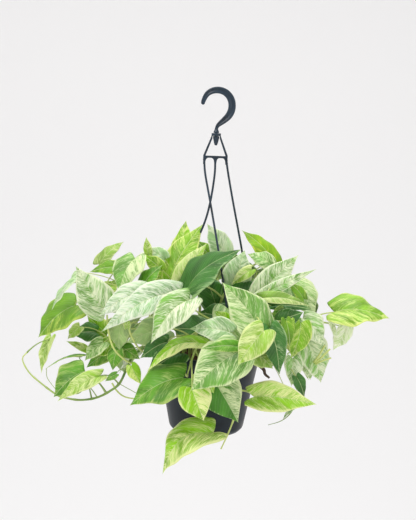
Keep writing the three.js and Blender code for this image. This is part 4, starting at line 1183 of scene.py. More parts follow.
class GrowthTree:
    """A geometry node tree that takes one mesh and named inputs, the last of them its finish."""

    def __init__(self, name: str, **kinds: str) -> None:
        """Starts the tree.

        Args:
            name: The tree's name.
            kinds: The kind of socket of each named input.
        """
        self.tree = bpy.data.node_groups.new(name, "GeometryNodeTree")
        face = self.tree.interface
        face.new_socket("Geometry", in_out="INPUT", socket_type="NodeSocketGeometry")
        self.keys = {
            key: face.new_socket(key, in_out="INPUT", socket_type="NodeSocket" + kind).identifier
            for key, kind in kinds.items()}
        face.new_socket("Geometry", in_out="OUTPUT", socket_type="NodeSocketGeometry")
        self.graph = Graph(self.tree)
        self.given = self.graph.add("NodeGroupInput").outputs

    def close(self, grown: bpy.types.Node) -> None:
        """Ends the tree with what has grown, made real and given its finish."""
        real = self.graph.add("GeometryNodeRealizeInstances", grown)
        finish = {"Material": self.given["Finish"]}
        self.graph.add("NodeGroupOutput", self.graph.add("GeometryNodeSetMaterial", real, named=finish))

    def run(self, mesh: bpy.types.Mesh, **values: Any) -> bpy.types.Mesh:
        """Runs the tree on a mesh, which it uses up.

        Args:
            mesh: The mesh.
            values: The values of the named inputs.

        Returns:
            The plain mesh that grows on it.
        """
        holder = linked(mesh.name, mesh)
        modifier = holder.modifiers.new("growth", "NODES")
        modifier.node_group = self.tree
        for key, value in values.items():
            modifier[self.keys[key]] = value
        made = plain_mesh(holder)
        bpy.data.objects.remove(holder)
        bpy.data.meshes.remove(mesh)
        return made


class TubeTree(GrowthTree):
    """Grows a round tube along each chain of edges, as thick as they say."""

    def __init__(self) -> None:
        """Builds the tree with its inputs: the sides of a tube and its finish."""
        super().__init__("tube_along_edges", Sides="Int", Finish="Material")
        add, given = self.graph.add, self.given
        chain = add("GeometryNodeMeshToCurve", given["Geometry"])
        thick = add("GeometryNodeInputNamedAttribute", "thick", data_type="FLOAT")
        ring = add("GeometryNodeCurvePrimitiveCircle", named={"Resolution": given["Sides"], "Radius": 1.0})
        self.close(add("GeometryNodeCurveToMesh", chain, ring, named={"Scale": thick, "Fill Caps": True}))

    def grow(self, name: str, lines: Sequence[tuple[np.ndarray, np.ndarray, float]], sides: int,
             finish: bpy.types.Material) -> bpy.types.Mesh:
        """Grows tubes along lines.

        Args:
            name: The mesh's name.
            lines: Points in millimetres, their radii and their tone, one number or one for each point.
            sides: The sides of a tube.
            finish: The tube's material.

        Returns:
            The plain mesh, in metres, with the tone as its attribute.
        """
        mesh = bpy.data.meshes.new(name)
        edges, start = [], 0
        for points, _, _ in lines:
            edges += [(start + i, start + i + 1) for i in range(len(points) - 1)]
            start += len(points)
        mesh.from_pydata((np.vstack([points for points, _, _ in lines]) * MM).tolist(), edges, [])
        thick = np.concatenate([np.broadcast_to(radii, len(points)) for points, radii, _ in lines]) * MM
        tone = np.concatenate([np.broadcast_to(tone, len(points)) for points, _, tone in lines])
        for key, value in (("thick", thick), ("tone", tone)):
            layer = mesh.attributes.new(key, "FLOAT", "POINT")
            layer.data.foreach_set("value", value.astype(np.float32))
        return self.run(mesh, Sides=sides, Finish=finish)


def place(name: str, mesh: bpy.types.Mesh, body: str, slot: str, nodes: Sequence[str]) -> bpy.types.Object:
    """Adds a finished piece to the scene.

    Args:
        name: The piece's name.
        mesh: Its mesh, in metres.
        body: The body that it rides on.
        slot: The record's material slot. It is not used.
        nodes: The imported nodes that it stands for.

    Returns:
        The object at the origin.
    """
    piece = linked(name, mesh)
    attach(piece, body)
    if nodes:
        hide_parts(*nodes)
    LOG.info("%s: %d faces", name, len(mesh.polygons))
    return piece


def outward(mesh: bpy.types.Mesh, weld: float = 0.0) -> None:
    """Turns the faces of each closed part outwards.

    Args:
        mesh: The mesh, which is changed.
        weld: Points that are this near in metres are made one first.
    """
    work = bmesh.new()
    work.from_mesh(mesh)
    if weld:
        bmesh.ops.remove_doubles(work, verts=work.verts, dist=weld)
    bmesh.ops.recalc_face_normals(work, faces=work.faces)
    work.to_mesh(mesh)
    work.free()


def bands(rings: Sequence[Sequence[int]]) -> list[tuple[int, ...]]:
    """Joins closed rings of points.

    Args:
        rings: The places of each ring's points, the same place all round at a pole.

    Returns:
        The faces between each ring and the next.
    """
    faces = []
    for low, high in zip(rings, rings[1:]):
        for k in range(len(low)):
            j = (k + 1) % len(low)
            faces.append(tuple(dict.fromkeys((low[k], low[j], high[j], high[k]))))
    return [face for face in faces if len(face) > 2]


def turned(profile: Sequence[tuple[float, float]], sides: int) -> tuple[np.ndarray, list[tuple[int, ...]]]:
    """Turns a profile about the Z axis.

    Args:
        profile: Radii and heights in millimetres, from the bottom of the axis to its top.
        sides: The sides of the turned form.

    Returns:
        Its points and its faces, which point outwards.
    """
    angles = np.linspace(0, 2 * math.pi, sides, endpoint=False)
    points, rings = [], []
    for radius, z in profile:
        start = len(points)
        if radius == 0:
            rings.append([start] * sides)
            points.append((0.0, 0.0, z))
        else:
            rings.append(range(start, start + sides))
            points += [(radius * math.cos(a), radius * math.sin(a), z) for a in angles]
    return np.array(points), bands(rings)


def bend(start: np.ndarray, corner: np.ndarray, end: np.ndarray, steps: int) -> np.ndarray:
    """Returns the points of a smooth bend.

    Args:
        start: Its first point.
        corner: The point that it leaves and ends towards.
        end: Its last point.
        steps: The steps along it.

    Returns:
        One more point than there are steps.
    """
    t = np.linspace(0, 1, steps + 1)[:, None]
    return (1 - t) ** 2 * start + 2 * t * (1 - t) * corner + t * t * end


def rounded(profile: Sequence[tuple[float, float, float]], steps: int = 4) -> list[tuple[float, float]]:
    """Rounds the corners of a profile.

    Args:
        profile: Radii, heights and corner radii.
        steps: The steps round a corner.

    Returns:
        The radii and heights of the rounded profile.
    """
    most = 0.45
    result = []
    points = [np.array(p[:2], float) for p in profile]
    for i, (radius, z, corner) in enumerate(profile):
        if corner == 0 or i in (0, len(profile) - 1):
            result.append((radius, z))
            continue
        here = points[i]
        start, end = (
            here + unit(other - here) * min(corner, most * np.linalg.norm(other - here))
            for other in (points[i - 1], points[i + 1]))
        result += [tuple(point) for point in bend(start, here, end, steps)]
    return result


@dataclass
class Foliage:
    """One vine: its blades as fine closed grids, its stem and its stalks as round tubes."""

    vine: Vine
    tubes: TubeTree
    finishes: Sequence[bpy.types.Material]
    anchors: np.ndarray
    rows: int = 26
    columns: int = 22
    margin: float = 0.4
    groove: float = 0.5
    stem_radius: float = 2.1
    stem_taper: float = 0.7
    stem_step: float = 4.0
    tip_taper: float = 0.4
    swelling: float = 0.55
    swelling_run: float = 2.6
    least_points: int = 12
    buried_nodes: int = 3
    stalk_radius: float = 1.25
    stalk_foot: float = 0.7
    rib_radius: float = 0.95
    internode: float = 24.0
    root_depth: float = 24.0
    young_width: float = 27.0
    tube_sides: int = 10
    stray_steps: int = 16

    RISES = (0.22, 0.02, 0.45)
    SWAYS = (0.0, 9.0, -9.0, 18.0, -18.0, 28.0, -28.0)
    MIDDLE_POINT = 6
    BETTER_BY = 0.05
    LOBE_ROUNDING = 0.1
    GROOVE_WIDTH = 1.5
    QUILTING = 0.16
    QUILT_GAP = 6.0
    QUILT_SLANT = 0.62
    ROLL = 0.2
    RIPPLE = 0.03
    SEED_RANGE = 10
    WARMTH = 0.16
    TIP_HALF_THICKNESS = 0.15

    def surface(self, blade: Blade, u: np.ndarray, v: np.ndarray) -> np.ndarray:
        """Finds the blade's middle surface with its rounded lobes, its sunken midrib and soft quilting.

        Args:
            blade: The blade.
            u: From 0 at the stalk to 1 at the tip.
            v: From -1 to 1 between the edges.

        Returns:
            The points, in the shape of u and v with 3 more.
        """
        half = blade.half_width(u)
        rounded_off = np.clip(1 - u / self.LOBE_ROUNDING, 0, 1) ** 2
        rounding = 1 - self.LOBE_ROUNDING * rounded_off * np.abs(v) ** 3
        off = np.abs(v) * half
        sunk = self.groove * np.exp(-(off / self.GROOVE_WIDTH) ** 2) * np.clip(1 - u, 0, 1) ** 0.5
        slanted = u * blade.length - self.QUILT_SLANT * off
        quilt = self.QUILTING * np.cos(slanted / self.QUILT_GAP * 2 * math.pi)
        quilt = quilt * np.clip(off / self.QUILT_GAP, 0, 1) * (1 - np.abs(v) ** 4)
        roll = -self.ROLL * half * np.abs(v) ** 3
        ripple = self.RIPPLE * blade.width * v ** 2 * np.sin(blade.phase * 3 + 17 * u + 2.6 * v)
        ripple = ripple * np.sin(math.pi * u)
        middle = blade.at(u, v * rounding)
        return middle + (quilt + roll + ripple - sunk)[..., None] * blade.normal

    def add_blade(self, skin: Skin, blade: Blade, seed: float) -> None:
        """Adds a closed blade, thin at its margin and with a fine tip.

        Args:
            skin: The vine's skin.
            blade: The blade.
            seed: A number that sets its marbling apart.
        """
        rows, columns = self.rows, self.columns
        spread = np.linspace(-1, 1, columns + 1)
        spread = np.sign(spread) * np.abs(spread) ** 1.2
        rise = 0.985 * np.linspace(0, 1, rows) ** 1.2
        u, v = np.meshgrid(rise, spread, indexing="ij")
        middle = self.surface(blade, u, v)
        normals = blade.normal_at(u, v)
        thinning = (1 - np.abs(v) ** 4) * (1 - u ** 3)
        thick = 0.5 * (self.margin + (blade.THICKNESS - self.margin) * thinning)
        tip, tip_normal = blade.at(1.0, 0.0), blade.normal_at(1.0, 0.0)
        sides = []
        for sign in (1, -1):
            side = (middle + sign * thick[..., None] * normals).reshape(-1, 3)
            sides.append(np.vstack([side, tip + sign * self.TIP_HALF_THICKNESS * tip_normal]))
        points = np.vstack(sides)
        back = len(sides[0])
        last = back - 1
        grid = np.arange(last).reshape(rows, columns + 1)
        quads = np.stack([grid[:-1, :-1], grid[:-1, 1:], grid[1:, 1:], grid[1:, :-1]], axis=2)
        top = quads.reshape(-1, 4).tolist() + [(a, b, last) for a, b in zip(grid[-1], grid[-1, 1:])]
        under = [[back + i for i in reversed(face)] for face in top]
        edge = [*grid[0], *grid[1:, -1], last, *grid[:0:-1, 0]]
        rim = [(b, a, back + a, back + b) for a, b in zip(edge, edge[1:] + edge[:1])]
        chart = np.stack([v * blade.half_width(u), u * blade.length - blade.lobe(u, v)], axis=2)
        chart = np.vstack([chart.reshape(-1, 2), [0.0, blade.length]]) * UV_UNIT
        look = blade.look.value
        warmth = Draw(int(1000 * seed) + 7).about(1.0, self.WARMTH)
        green = np.array(linear(look.green)) * [warmth, 1, 1 / warmth, 1]
        near_edge = np.append(np.abs(v).ravel(), 1.0)
        skin.add(points, top + rim + under, [0] * (len(top) + len(rim)) + [1] * len(under),
                 green=green, pale=np.array(linear(look.pale)),
                 marks=np.array([look.share, blade.split, seed]), uv=np.vstack([chart, chart]),
                 tone=np.concatenate([near_edge, near_edge]))

    def stem(self) -> tuple[Path, np.ndarray]:
        """Returns the stem's curve and its leaf nodes."""
        heights = (SOIL_Z - self.root_depth, SOIL_Z - 8, SOIL_Z + 7)
        line = Path([*(np.array([*self.vine.root, z]) for z in heights), *self.vine.path])
        return line, line.spaced(math.ceil(line.length / self.internode))

    def stalk(self, node: np.ndarray, blade: Blade, sway: float, rise: float) -> np.ndarray:
        """Bends a stalk from its node to a place just under the start of its blade.

        Args:
            node: The leaf node on the stem.
            blade: The blade.
            sway: How far the bend is moved sideways.
            rise: How far it is raised, as a share of the stalk's run.

        Returns:
            The points along the stalk.
        """
        share = min(0.4, 4 / blade.length + 0.1)
        end = blade.at(0, 0) * (1 - share) + blade.at(0.25, 0) * share - blade.normal * 0.45
        run = float(np.linalg.norm(end - node))
        across = np.cross(end - node, [0, 0, 1])
        aside = across / max(np.linalg.norm(across), 1e-6) * sway
        middle = (node + end) / 2 + np.array([0, 0, rise * run]) + aside
        return bend(node, middle, end, 2 * self.MIDDLE_POINT)

    def best_stalk(self, node: np.ndarray, blade: Blade) -> np.ndarray:
        """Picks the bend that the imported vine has, by the place of its middle.

        Args:
            node: The leaf node on the stem.
            blade: The blade.

        Returns:
            The points along the stalk.
        """
        if blade.width <= self.young_width:
            return self.stalk(node, blade, self.SWAYS[0], self.RISES[0])
        best, least = None, math.inf
        for rise in self.RISES:
            for sway in self.SWAYS:
                line = self.stalk(node, blade, sway, rise)
                gap = float(np.min(np.linalg.norm(self.anchors - line[self.MIDDLE_POINT], axis=1)))
                if gap < least - self.BETTER_BY:
                    best, least = line, gap
        return best

    def wood(self) -> list[tuple[np.ndarray, np.ndarray, float]]:
        """Returns the lines of the stem, the stalks and the midribs under the blades, with their radii."""
        young = self.vine.young
        line, nodes = self.stem()
        above = nodes[self.buried_nodes:]
        shares = np.linspace(0, 1, max(int(line.length / self.stem_step), self.least_points))
        points = line.spaced(len(shares) - 1)
        near = np.min(np.linalg.norm(points[:, None, :] - above[None], axis=2), axis=1)
        radii = self.stem_radius * (1 - (1 - self.stem_taper) * shares)
        radii = radii + self.swelling * np.exp(-(near / self.swelling_run) ** 2)
        radii *= 1 - self.tip_taper * shares ** 4
        lines = [(points, radii, young + (1 - young) * shares ** 3)]
        free = list(above)
        for blade in self.vine.blades:
            end = blade.at(0, 0)
            free.sort(key=lambda node: float(np.linalg.norm(node - end)))
            node = free.pop(0) if len(free) > 1 else free[0]
            stalk = self.best_stalk(node, blade)
            t = np.linspace(0, 1, len(stalk))
            size = min(1.0, 0.45 + blade.width / 90)
            radii = size * (self.stalk_radius * (1 - 0.25 * t) + self.stalk_foot * (1 - t) ** 6)
            lines.append((stalk, radii, min(1.0, young + 0.25)))
            u = np.linspace(0.06, 0.9, self.least_points)
            rib = self.surface(blade, u, np.zeros(len(u))) - blade.normal * 0.3
            lines.append((rib, size * self.rib_radius * (1 - 0.8 * u), min(1.0, young + 0.35)))
        return lines + self.strays(False)

    def strays(self, dried: bool) -> list[tuple[np.ndarray, np.ndarray, float]]:
        """Finds this vine's bare stalks and roots, or its dried sheaths.

        Args:
            dried: Whether the dried ones are asked for.

        Returns:
            The points, the radii and the tone of each.
        """
        lines = []
        for stray in STRAYS:
            if stray.node == self.vine.node and stray.dried == dried:
                points = Path([seen(point) for point in stray.points]).spaced(self.stray_steps)
                lines.append((points, np.linspace(stray.start, stray.end, self.stray_steps + 1), stray.tone))
        return lines

    def make(self) -> bpy.types.Object:
        """Builds the piece and sets it in place of its node."""
        skin = Skin()
        for k, blade in enumerate(self.vine.blades):
            self.add_blade(skin, blade, (blade.phase * 7.3 + k * 1.7) % self.SEED_RANGE)
        for slot, lines in ((2, self.wood()), (3, self.strays(True))):
            if lines:
                skin.take(self.tubes.grow("wood", lines, self.tube_sides, self.finishes[slot]), slot)
        name = self.vine.node.replace("vine", "foliage")
        return place(name, skin.mesh(name, self.finishes), "basket", "leaf", [self.vine.node])


@dataclass
class Hook:
    """The swivel hook: a crescent with a channel in each face, on a neck that ends in a barb."""

    finish: bpy.types.Material
    steps: int = 84
    sides: int = 40
    neck: float = 2.4
    collar: float = 4.1
    barb: float = 4.6
    barb_tip: float = -76.0
    gap: float = 0.3
    nose: float = 0.03

    # The crescent's spine by place and half widths, and its section as shares of them
    SPINE = (
        (-21.3, -17, 2.6, 2.4), (-20.6, -11.5, 3.2, 3.0), (-15.2, -1.1, 4.0, 3.5), (-8.0, 3.7, 4.6, 3.8),
        (0.3, 5.2, 5.0, 4.0), (8.6, 3.5, 5.1, 4.0), (15.5, -1.2, 5.2, 4.0), (20.3, -8.5, 5.4, 4.0),
        (21.9, -17, 5.5, 4.0), (20.8, -25, 5.5, 4.0), (17.2, -32.2, 5.3, 3.9), (11.4, -38.2, 4.7, 3.6),
        (5.6, -43.2, 3.7, 3.2), (1.8, -47, 2.9, 2.8), (0.2, -50.5, 2.4, 2.4), (0, -53, 2.2, 2.2),
    )
    SECTION = (
        (1, -0.4), (1, 0.4), (0.93, 0.86), (0.74, 1), (0.48, 1), (0.36, 0.93), (0.24, 0.72), (0, 0.66),
        (-0.24, 0.72), (-0.36, 0.93), (-0.48, 1), (-0.74, 1), (-0.93, 0.86),
        (-1, 0.4), (-1, -0.4), (-0.93, -0.86), (-0.74, -1), (-0.48, -1), (-0.36, -0.93), (-0.24, -0.72),
        (0, -0.66), (0.24, -0.72), (0.36, -0.93), (0.48, -1), (0.74, -1), (0.93, -0.86),
    )

    def crescent(self, skin: Skin) -> None:
        """Adds the crescent, lofted along its spine."""
        spine = np.array(self.SPINE, float)
        course = Path([(x, 0, z) for x, z, _, _ in self.SPINE])
        shares = np.linspace(0, 1, self.steps + 1)
        middle = course.at(shares)
        keys = np.linspace(0, 1, len(spine))
        half, width = (np.interp(shares, keys, spine[:, k]) for k in (2, 3))
        nose = 1 - np.clip(shares / self.nose, 0, 1)
        round_off = np.sqrt(np.clip(1 - nose ** 2, 0.05, 1))
        along = np.gradient(middle, axis=0)
        along /= np.linalg.norm(along, axis=1, keepdims=True)
        across = np.stack([-along[:, 2], np.zeros(len(along)), along[:, 0]], axis=1)
        section = np.array(self.SECTION)
        reach = section[None, :, 0] * (half * round_off)[:, None]
        points = middle[:, None, :] + across[:, None, :] * reach[..., None]
        points[:, :, 1] = section[None, :, 1] * (width * round_off)[:, None]
        rings = np.arange(len(shares) * len(section)).reshape(len(shares), -1).tolist()
        skin.add(points.reshape(-1, 3), [*bands(rings), rings[0][::-1], rings[-1]])

    def make(self) -> bpy.types.Object:
        """Builds the hook and sets it in place of its node."""
        skin = Skin()
        self.crescent(skin)
        profile = rounded([
            (0, self.barb_tip, 0), (1.7, self.barb_tip, 0.6), (3.1, self.barb_tip + 4, 0.8),
            (self.barb, PLATE_UNDER - 3, 0.6), (self.barb, PLATE_UNDER - self.gap, 0.4),
            (self.neck, PLATE_UNDER - self.gap, 0.2), (self.neck, PLATE_TOP + self.gap, 0.2),
            (self.collar, PLATE_TOP + self.gap, 0.4), (self.collar, PLATE_TOP + 2, 0.5),
            (2.6, PLATE_TOP + 5.5, 1.0), (self.neck, PLATE_TOP + 8, 0.4), (0, PLATE_TOP + 8, 0),
        ])
        skin.add(*turned(profile, self.sides))
        mesh = skin.mesh("swivel_hook", [self.finish])
        outward(mesh)
        return place("swivel_hook", mesh, "hook", "hook_plastic", ["hook"])


@dataclass
class Hanger:
    """The moulded hanger: a collar plate, two arms, a bar and three strands with barbed ends."""

    tubes: TubeTree
    finish: bpy.types.Material
    plate_radius: float = 7.0
    bore: float = 2.9
    half_depth: float = 1.5
    half_bar: float = 1.6
    gusset_reach: float = 6.5
    gusset_steps: int = 8
    edge_radius: float = 0.45
    foot: float = BAR_Z - 11.0
    barb_length: float = 7.0
    barb: float = 2.2
    lug_neck: float = 1.25
    lug_gap: float = 0.3
    strand_points: int = 72
    bar_swelling: float = 0.5
    lug_swelling: float = 0.45
    weld: float = 0.001

    LUGS = (-65.0, 55.0, 175.0)
    STRANDS = (
        ((-16.5, 0, -97), (-14.8, -1, -115), (-5, -13, -161), (10, -34, -233), (18, -47, -275),
         (26, -60, -319), (33, -71, -355)),
        ((16.5, 0, -97), (18.5, 1, -110), (28, 12, -156), (39.5, 27, -207), (47.5, 38, -245), (56, 52, -300),
         (53, 64, -350)),
        ((0, 0, -97), (-0.2, 1, -118), (-5.5, 2, -161), (-13, 3, -192), (-31, 4, -235), (-55, 5, -284),
         (-76, 6.5, -338)),
    )

    def gusset(self, start: tuple[float, float], corner: tuple[float, float],
               end: tuple[float, float]) -> list[tuple[float, float]]:
        """Returns the points of a rounded inner corner."""
        return [tuple(point) for point in bend(*np.array([start, corner, end], float), self.gusset_steps)]

    def head(self) -> bpy.types.Mesh:
        """Builds the flat arms and the bar, their edges rounded as a moulding's are."""
        half, reach, foot = self.half_bar, self.gusset_reach, self.foot
        under, inner = BAR_Z - half, BAR_HALF - half
        right = self.gusset((half, foot), (half, under), (reach, under))
        right += self.gusset((BAR_HALF - reach, under), (inner, under), (inner, foot))
        right += [(BAR_HALF + half, foot), (BAR_HALF + 1.7, BAR_Z + 2), (7.2, PLATE_UNDER - 1),
                  (7.0, PLATE_UNDER + 1), (5.2, PLATE_UNDER + 1), (5.4, PLATE_UNDER - 4),
                  (BAR_HALF - 1.7, BAR_Z + half)]
        outline = right + [(-x, z) for x, z in reversed(right)]
        work = bmesh.new()
        front, back = (
            [work.verts.new((x * MM, y * MM, z * MM)) for x, z in outline]
            for y in (-self.half_depth, self.half_depth))
        work.faces.new(front)
        work.faces.new(reversed(back))
        for k in range(len(outline)):
            j = (k + 1) % len(outline)
            work.faces.new((front[k], back[k], back[j], front[j]))
        bmesh.ops.recalc_face_normals(work, faces=work.faces)
        sharp = [edge for edge in work.edges if edge.calc_face_angle(0) > 0.6]
        offset = self.edge_radius * MM
        bmesh.ops.bevel(work, geom=sharp, offset=offset, segments=3, profile=0.5, affect="EDGES")
        bmesh.ops.triangulate(work, faces=[face for face in work.faces if len(face.verts) > 4])
        mesh = bpy.data.meshes.new("hanger_head")
        work.to_mesh(mesh)
        work.free()
        return mesh

    def make(self) -> bpy.types.Object:
        """Builds the hanger and sets it in place of its node."""
        skin = Skin()
        lines = []
        over, under = RIM_Z + self.lug_gap, RIM_Z - RIM_FLANGE - self.lug_gap
        tip = under - self.barb_length
        barb, faces = turned(rounded([
            (0, tip, 0), (0.8, tip, 0.3), (self.barb, under - 2, 0.4), (self.barb, under, 0.3),
            (self.lug_neck, under, 0.1), (self.lug_neck, over, 0.1), (2.6, over, 0.3),
            (2.4, RIM_Z + 2.2, 0.6), (0, RIM_Z + 3.0, 0)]), 20)
        for lug, path in zip(self.LUGS, self.STRANDS):
            seat = polar(LUG_RADIUS, lug, 0)
            course = Path([*path, (seat[0], seat[1], RIM_Z + 12), (seat[0], seat[1], RIM_Z + 2.5)])
            shares = np.linspace(0, 1, self.strand_points)
            at_bar = self.bar_swelling * np.exp(-(shares / 0.012) ** 2)
            at_lug = self.lug_swelling * np.exp(-((1 - shares) / 0.05) ** 2)
            lines.append((course.at(shares), STRAND_RADIUS + at_bar + at_lug, 0.0))
            skin.add(barb + seat, faces)
        bore, plate = self.bore, self.plate_radius
        skin.add(*turned(rounded([
            (bore, PLATE_UNDER, 0), (plate, PLATE_UNDER, 0.7), (plate, PLATE_TOP, 0.7), (bore, PLATE_TOP, 0),
            (bore, PLATE_UNDER, 0)]), 48))
        for mesh in (self.tubes.grow("strands", lines, 14, self.finish), self.head()):
            skin.take(mesh)
        made = skin.mesh("hanger_moulding", [self.finish])
        outward(made, self.weld * MM)
        made.set_sharp_from_angle(angle=math.radians(50))
        return place("hanger_moulding", made, "basket", "hanger_plastic", ["hanger"])


@dataclass
class Pot:
    """The nursery pot: a thin tapered wall on a rounded foot, under a flanged rim with a skirt."""

    finish: bpy.types.Material
    skirt: float = 11.0
    skirt_wall: float = 1.5
    inner_bevel: float = 6.6
    drain_radius: float = 4.5
    drain_ring: float = 32.0
    drain_count: int = 6
    lug_hole: float = 1.9
    sides: int = 144

    def cut(self, holder: bpy.types.Object, at: np.ndarray, radius: float, low: float, high: float) -> None:
        """Cuts a round hole with a boolean, which the evaluated mesh then holds.

        Args:
            holder: The object that is cut.
            at: The hole's place about the pot's axis.
            radius: Its radius.
            low: The cut's lowest height.
            high: Its highest.
        """
        points, faces = turned([(0, low), (radius, low), (radius, high), (0, high)], 24)
        skin = Skin()
        skin.add(points + at, faces)
        cutter = linked("hole_cutter", skin.mesh("hole_cutter", []))
        modifier = holder.modifiers.new("hole", "BOOLEAN")
        modifier.operation, modifier.solver, modifier.object = "DIFFERENCE", "EXACT", cutter
        mesh = plain_mesh(holder)
        holder.modifiers.clear()
        holder.data = mesh
        bpy.data.objects.remove(cutter)

    def make(self) -> bpy.types.Object:
        """Builds the pot and sets it in place of its node."""
        foot = RIM_Z - POT_HEIGHT
        bevel, floor = foot + POT_FOOT_BEVEL, foot + POT_WALL
        slope = (POT_TOP_RADIUS - POT_FOOT_RADIUS) / (POT_HEIGHT - POT_FOOT_BEVEL)
        under, lip = RIM_Z - RIM_FLANGE, RIM_Z - self.skirt
        skirt = RIM_RADIUS - self.skirt_wall
        skin = Skin()
        skin.add(*turned(rounded([
            (0, foot, 0), (POT_FOOT_RADIUS - POT_FOOT_BEVEL, foot, 2.5), (POT_FOOT_RADIUS, bevel, 3.0),
            (POT_TOP_RADIUS - slope * RIM_FLANGE, under, 0.6), (skirt, under, 0.4), (skirt, lip, 0.5),
            (RIM_RADIUS, lip, 0.5), (RIM_RADIUS, RIM_Z, 2.2), (POT_TOP_RADIUS - POT_WALL, RIM_Z, 1.0),
            (POT_FOOT_RADIUS - POT_WALL, bevel, 2.5), (POT_FOOT_RADIUS - self.inner_bevel, floor, 1.5),
            (0, floor, 0)]), self.sides))
        mesh = skin.mesh("pot_shell", [self.finish])
        outward(mesh)
        holder = linked("pot_shell", mesh)
        for k in range(self.drain_count):
            at = polar(self.drain_ring, 360 * k / self.drain_count, 0)
            self.cut(holder, at, self.drain_radius, foot - 5, foot + 5)
        for lug in Hanger.LUGS:
            self.cut(holder, polar(LUG_RADIUS, lug, 0), self.lug_hole, RIM_Z - 4, RIM_Z + 3)
        mesh = holder.data
        bpy.data.objects.remove(holder)
        mesh.set_sharp_from_angle(angle=math.radians(40))
        return place("nursery_pot", mesh, "basket", "pot_plastic", ["pot"])


class CrumbTree(GrowthTree):
    """Strews small crumbs over the upper side of a surface."""

    LEAST_UPWARD = 0.5
    FULL_TURN = 6.28
    LEAST_STRETCH = (0.4, 0.4, 0.3)
    MOST_STRETCH = (1.6, 1.2, 0.8)

    def __init__(self) -> None:
        """Builds the tree with its inputs: crumbs to the square metre, their size, a seed and the finish."""
        super().__init__("strewn_crumbs", Density="Float", Size="Float", Seed="Int", Finish="Material")
        add, given = self.graph.add, self.given
        tilt = add("ShaderNodeSeparateXYZ", add("GeometryNodeInputNormal")).outputs["Z"]
        top = add("FunctionNodeCompare", tilt, self.LEAST_UPWARD, operation="GREATER_THAN")
        spots = add("GeometryNodeDistributePointsOnFaces", named={
            "Mesh": given["Geometry"], "Selection": top, "Density": given["Density"], "Seed": given["Seed"]})
        crumb = add("GeometryNodeMeshIcoSphere", named={"Radius": given["Size"], "Subdivisions": 1})
        seed = {"Seed": given["Seed"]}
        turn, stretch = (
            add("FunctionNodeRandomValue", least, most, named=seed, data_type="FLOAT_VECTOR")
            for least, most in (((0, 0, 0), (self.FULL_TURN,) * 3), (self.LEAST_STRETCH, self.MOST_STRETCH)))
        strewn = add("GeometryNodeInstanceOnPoints", spots, named={"Instance": crumb, "Scale": stretch})
        turned_round = add("GeometryNodeRotateInstances", strewn, named={"Rotation": turn})
        joined = add("GeometryNodeJoinGeometry", given["Geometry"])
        self.tree.links.new(turned_round.outputs[0], joined.inputs[0])
        self.close(joined)


@dataclass
class Soil:
    """The potting mix: a low mound with loose crumbs on it."""

    finish: bpy.types.Material
    gap: float = 0.3
    clearance: float = 0.2
    foot_radius: float = POT_FOOT_RADIUS - 7.4
    mound: float = 4.0
    sunk: float = 0.4
    rings: int = 16
    hollows: float = 0.45
    crumbs: float = 90000.0
    crumb_size: float = 1.3
    seed: int = 5
    sides: int = 72

    def make(self) -> bpy.types.Object:
        """Builds the soil and sets it in place of its node."""
        foot = RIM_Z - POT_HEIGHT
        rise = (POT_TOP_RADIUS - POT_FOOT_RADIUS) * (1 - SOIL_DEPTH / (POT_HEIGHT - POT_FOOT_BEVEL))
        brim = POT_FOOT_RADIUS + rise - POT_WALL - self.gap - self.clearance
        floor = foot + POT_WALL + self.gap
        profile = [(0, floor), (self.foot_radius, floor),
                   (POT_FOOT_RADIUS - POT_WALL - self.gap, foot + POT_FOOT_BEVEL + self.gap), (brim, SOIL_Z)]
        profile += [(brim * (1 - t), SOIL_Z + self.mound * math.sin(0.5 * math.pi * t) - self.sunk)
                    for t in np.linspace(0.06, 0.98, self.rings)]
        profile.append((0, SOIL_Z + self.mound - self.sunk))
        points, faces = turned(profile, self.sides)
        ripple = self.hollows * np.sin(points[:, 0] * 0.53) * np.sin(points[:, 1] * 0.47 + 1.3)
        points[:, 2] += np.where(points[:, 2] > SOIL_Z + 0.1, ripple, 0)
        skin = Skin()
        skin.add(points, faces)
        made = CrumbTree().run(skin.mesh("soil_mound", [self.finish]), Density=self.crumbs,
                               Size=self.crumb_size * MM, Seed=self.seed, Finish=self.finish)
        return place("potting_soil", made, "basket", "potting_mix", ["soil"])


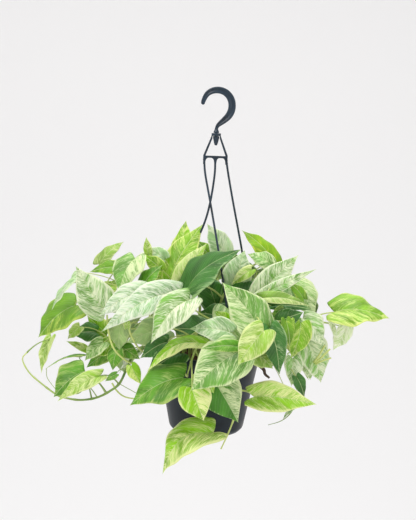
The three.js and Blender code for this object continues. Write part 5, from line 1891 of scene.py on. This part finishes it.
@dataclass
class Studio:
    """The pale ground, the soft lights and the camera, in metres."""

    finish: bpy.types.Material
    front_y: float = -4.5
    floor_z: float = -1.5
    wall_y: float = 3.2
    sweep: float = 1.6
    sweep_steps: int = 24
    half_width: float = 7.0
    top: float = 4.5
    sky_strength: float = 0.72
    aim: tuple[float, float, float] = (0.0, 0.0, -0.36)

    # Each light's name, place, size and power
    LIGHTS = (
        ("key", (-1.1, -1.5, 1.5), 1.2, 27.0),
        ("fill", (1.7, -1.5, 0.2), 1.6, 7.0),
        ("top", (0.1, 0.5, 1.6), 1.2, 18.0),
    )

    def ground(self) -> None:
        """Builds the floor and the wall behind it as one curved sheet."""
        run = [(self.front_y, self.floor_z)]
        run += [(self.wall_y - self.sweep * (1 - math.sin(t)), self.floor_z + self.sweep * (1 - math.cos(t)))
                for t in np.linspace(0, 0.5 * math.pi, self.sweep_steps)]
        run.append((self.wall_y, self.top))
        points = [(x, y, z) for y, z in run for x in (-self.half_width, self.half_width)]
        faces = [(2 * k, 2 * k + 1, 2 * k + 3, 2 * k + 2) for k in range(len(run) - 1)]
        mesh = bpy.data.meshes.new("ground")
        mesh.from_pydata(points, [], faces)
        mesh.materials.append(self.finish)
        mesh.shade_smooth()
        linked("ground", mesh)

    def light(self, name: str, at: tuple[float, float, float], size: float, power: float) -> None:
        """Adds a soft square light that looks at the plant.

        Args:
            name: Its name.
            at: Its place in metres.
            size: Its side in metres.
            power: Its power in watts.
        """
        data = bpy.data.lights.new(name, "AREA")
        data.shape, data.size, data.energy = "SQUARE", size, power
        lamp = linked(name, data)
        lamp.location = at
        lamp.rotation_euler = (Vector(self.aim) - Vector(at)).to_track_quat("-Z", "Y").to_euler()

    def camera(self) -> None:
        """Sets the camera at the front view's eye point."""
        right, up, forward = view_axes()
        data = bpy.data.cameras.new("front_view")
        data.sensor_fit, data.sensor_width = "AUTO", SENSOR
        data.lens = FOCAL / max(PICTURE) * SENSOR
        view = linked("front_view", data)
        turn = Matrix([[right[i], up[i], -forward[i]] for i in range(3)]).to_4x4()
        view.matrix_world = Matrix.Translation(Vector(EYE * MM)) @ turn
        bpy.context.scene.camera = view

    def sky(self) -> None:
        """Fills the room with even light."""
        world = bpy.data.worlds.new("even_light")
        world.use_nodes = True
        add = Graph(world.node_tree).add
        add("ShaderNodeOutputWorld", add("ShaderNodeBackground", linear("#fdfdff"), self.sky_strength))
        bpy.context.scene.world = world

    def make(self) -> None:
        """Builds the studio."""
        self.ground()
        self.sky()
        for name, at, size, power in self.LIGHTS:
            self.light(name, at, size, power)
        self.camera()
        bpy.context.scene.view_settings.view_transform = "Standard"


def main() -> None:
    """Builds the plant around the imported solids."""
    logging.basicConfig(level=logging.INFO, format="%(message)s")
    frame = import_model()
    Studio(PaintedWall().make()).make()
    slate = MouldedPlastic("moulded_slate_polypropylene", "#14222e", "#263a4a", 0.3, 0.5).make()
    black = MouldedPlastic("moulded_black_polypropylene", "#0c161c", "#1a2830", 0.42, 0.26).make()
    tubes = TubeTree()
    Hook(slate).make()
    Hanger(tubes, slate).make()
    Pot(black).make()
    Soil(PottingMix().make()).make()
    finishes = [MarbledBlade("waxy_marbled_blade").make(), MarbledBlade("matt_blade_underside", True).make(),
                GreenStalk().make(), GreenStalk("dried_brown_sheath", "#6b4d36", "#3c2a1e").make()]
    for vine in Grower().vines():
        Foliage(vine, tubes, finishes, points_of(frame["nodes"][vine.node].data)).make()


if __name__ == "__main__":
    main()
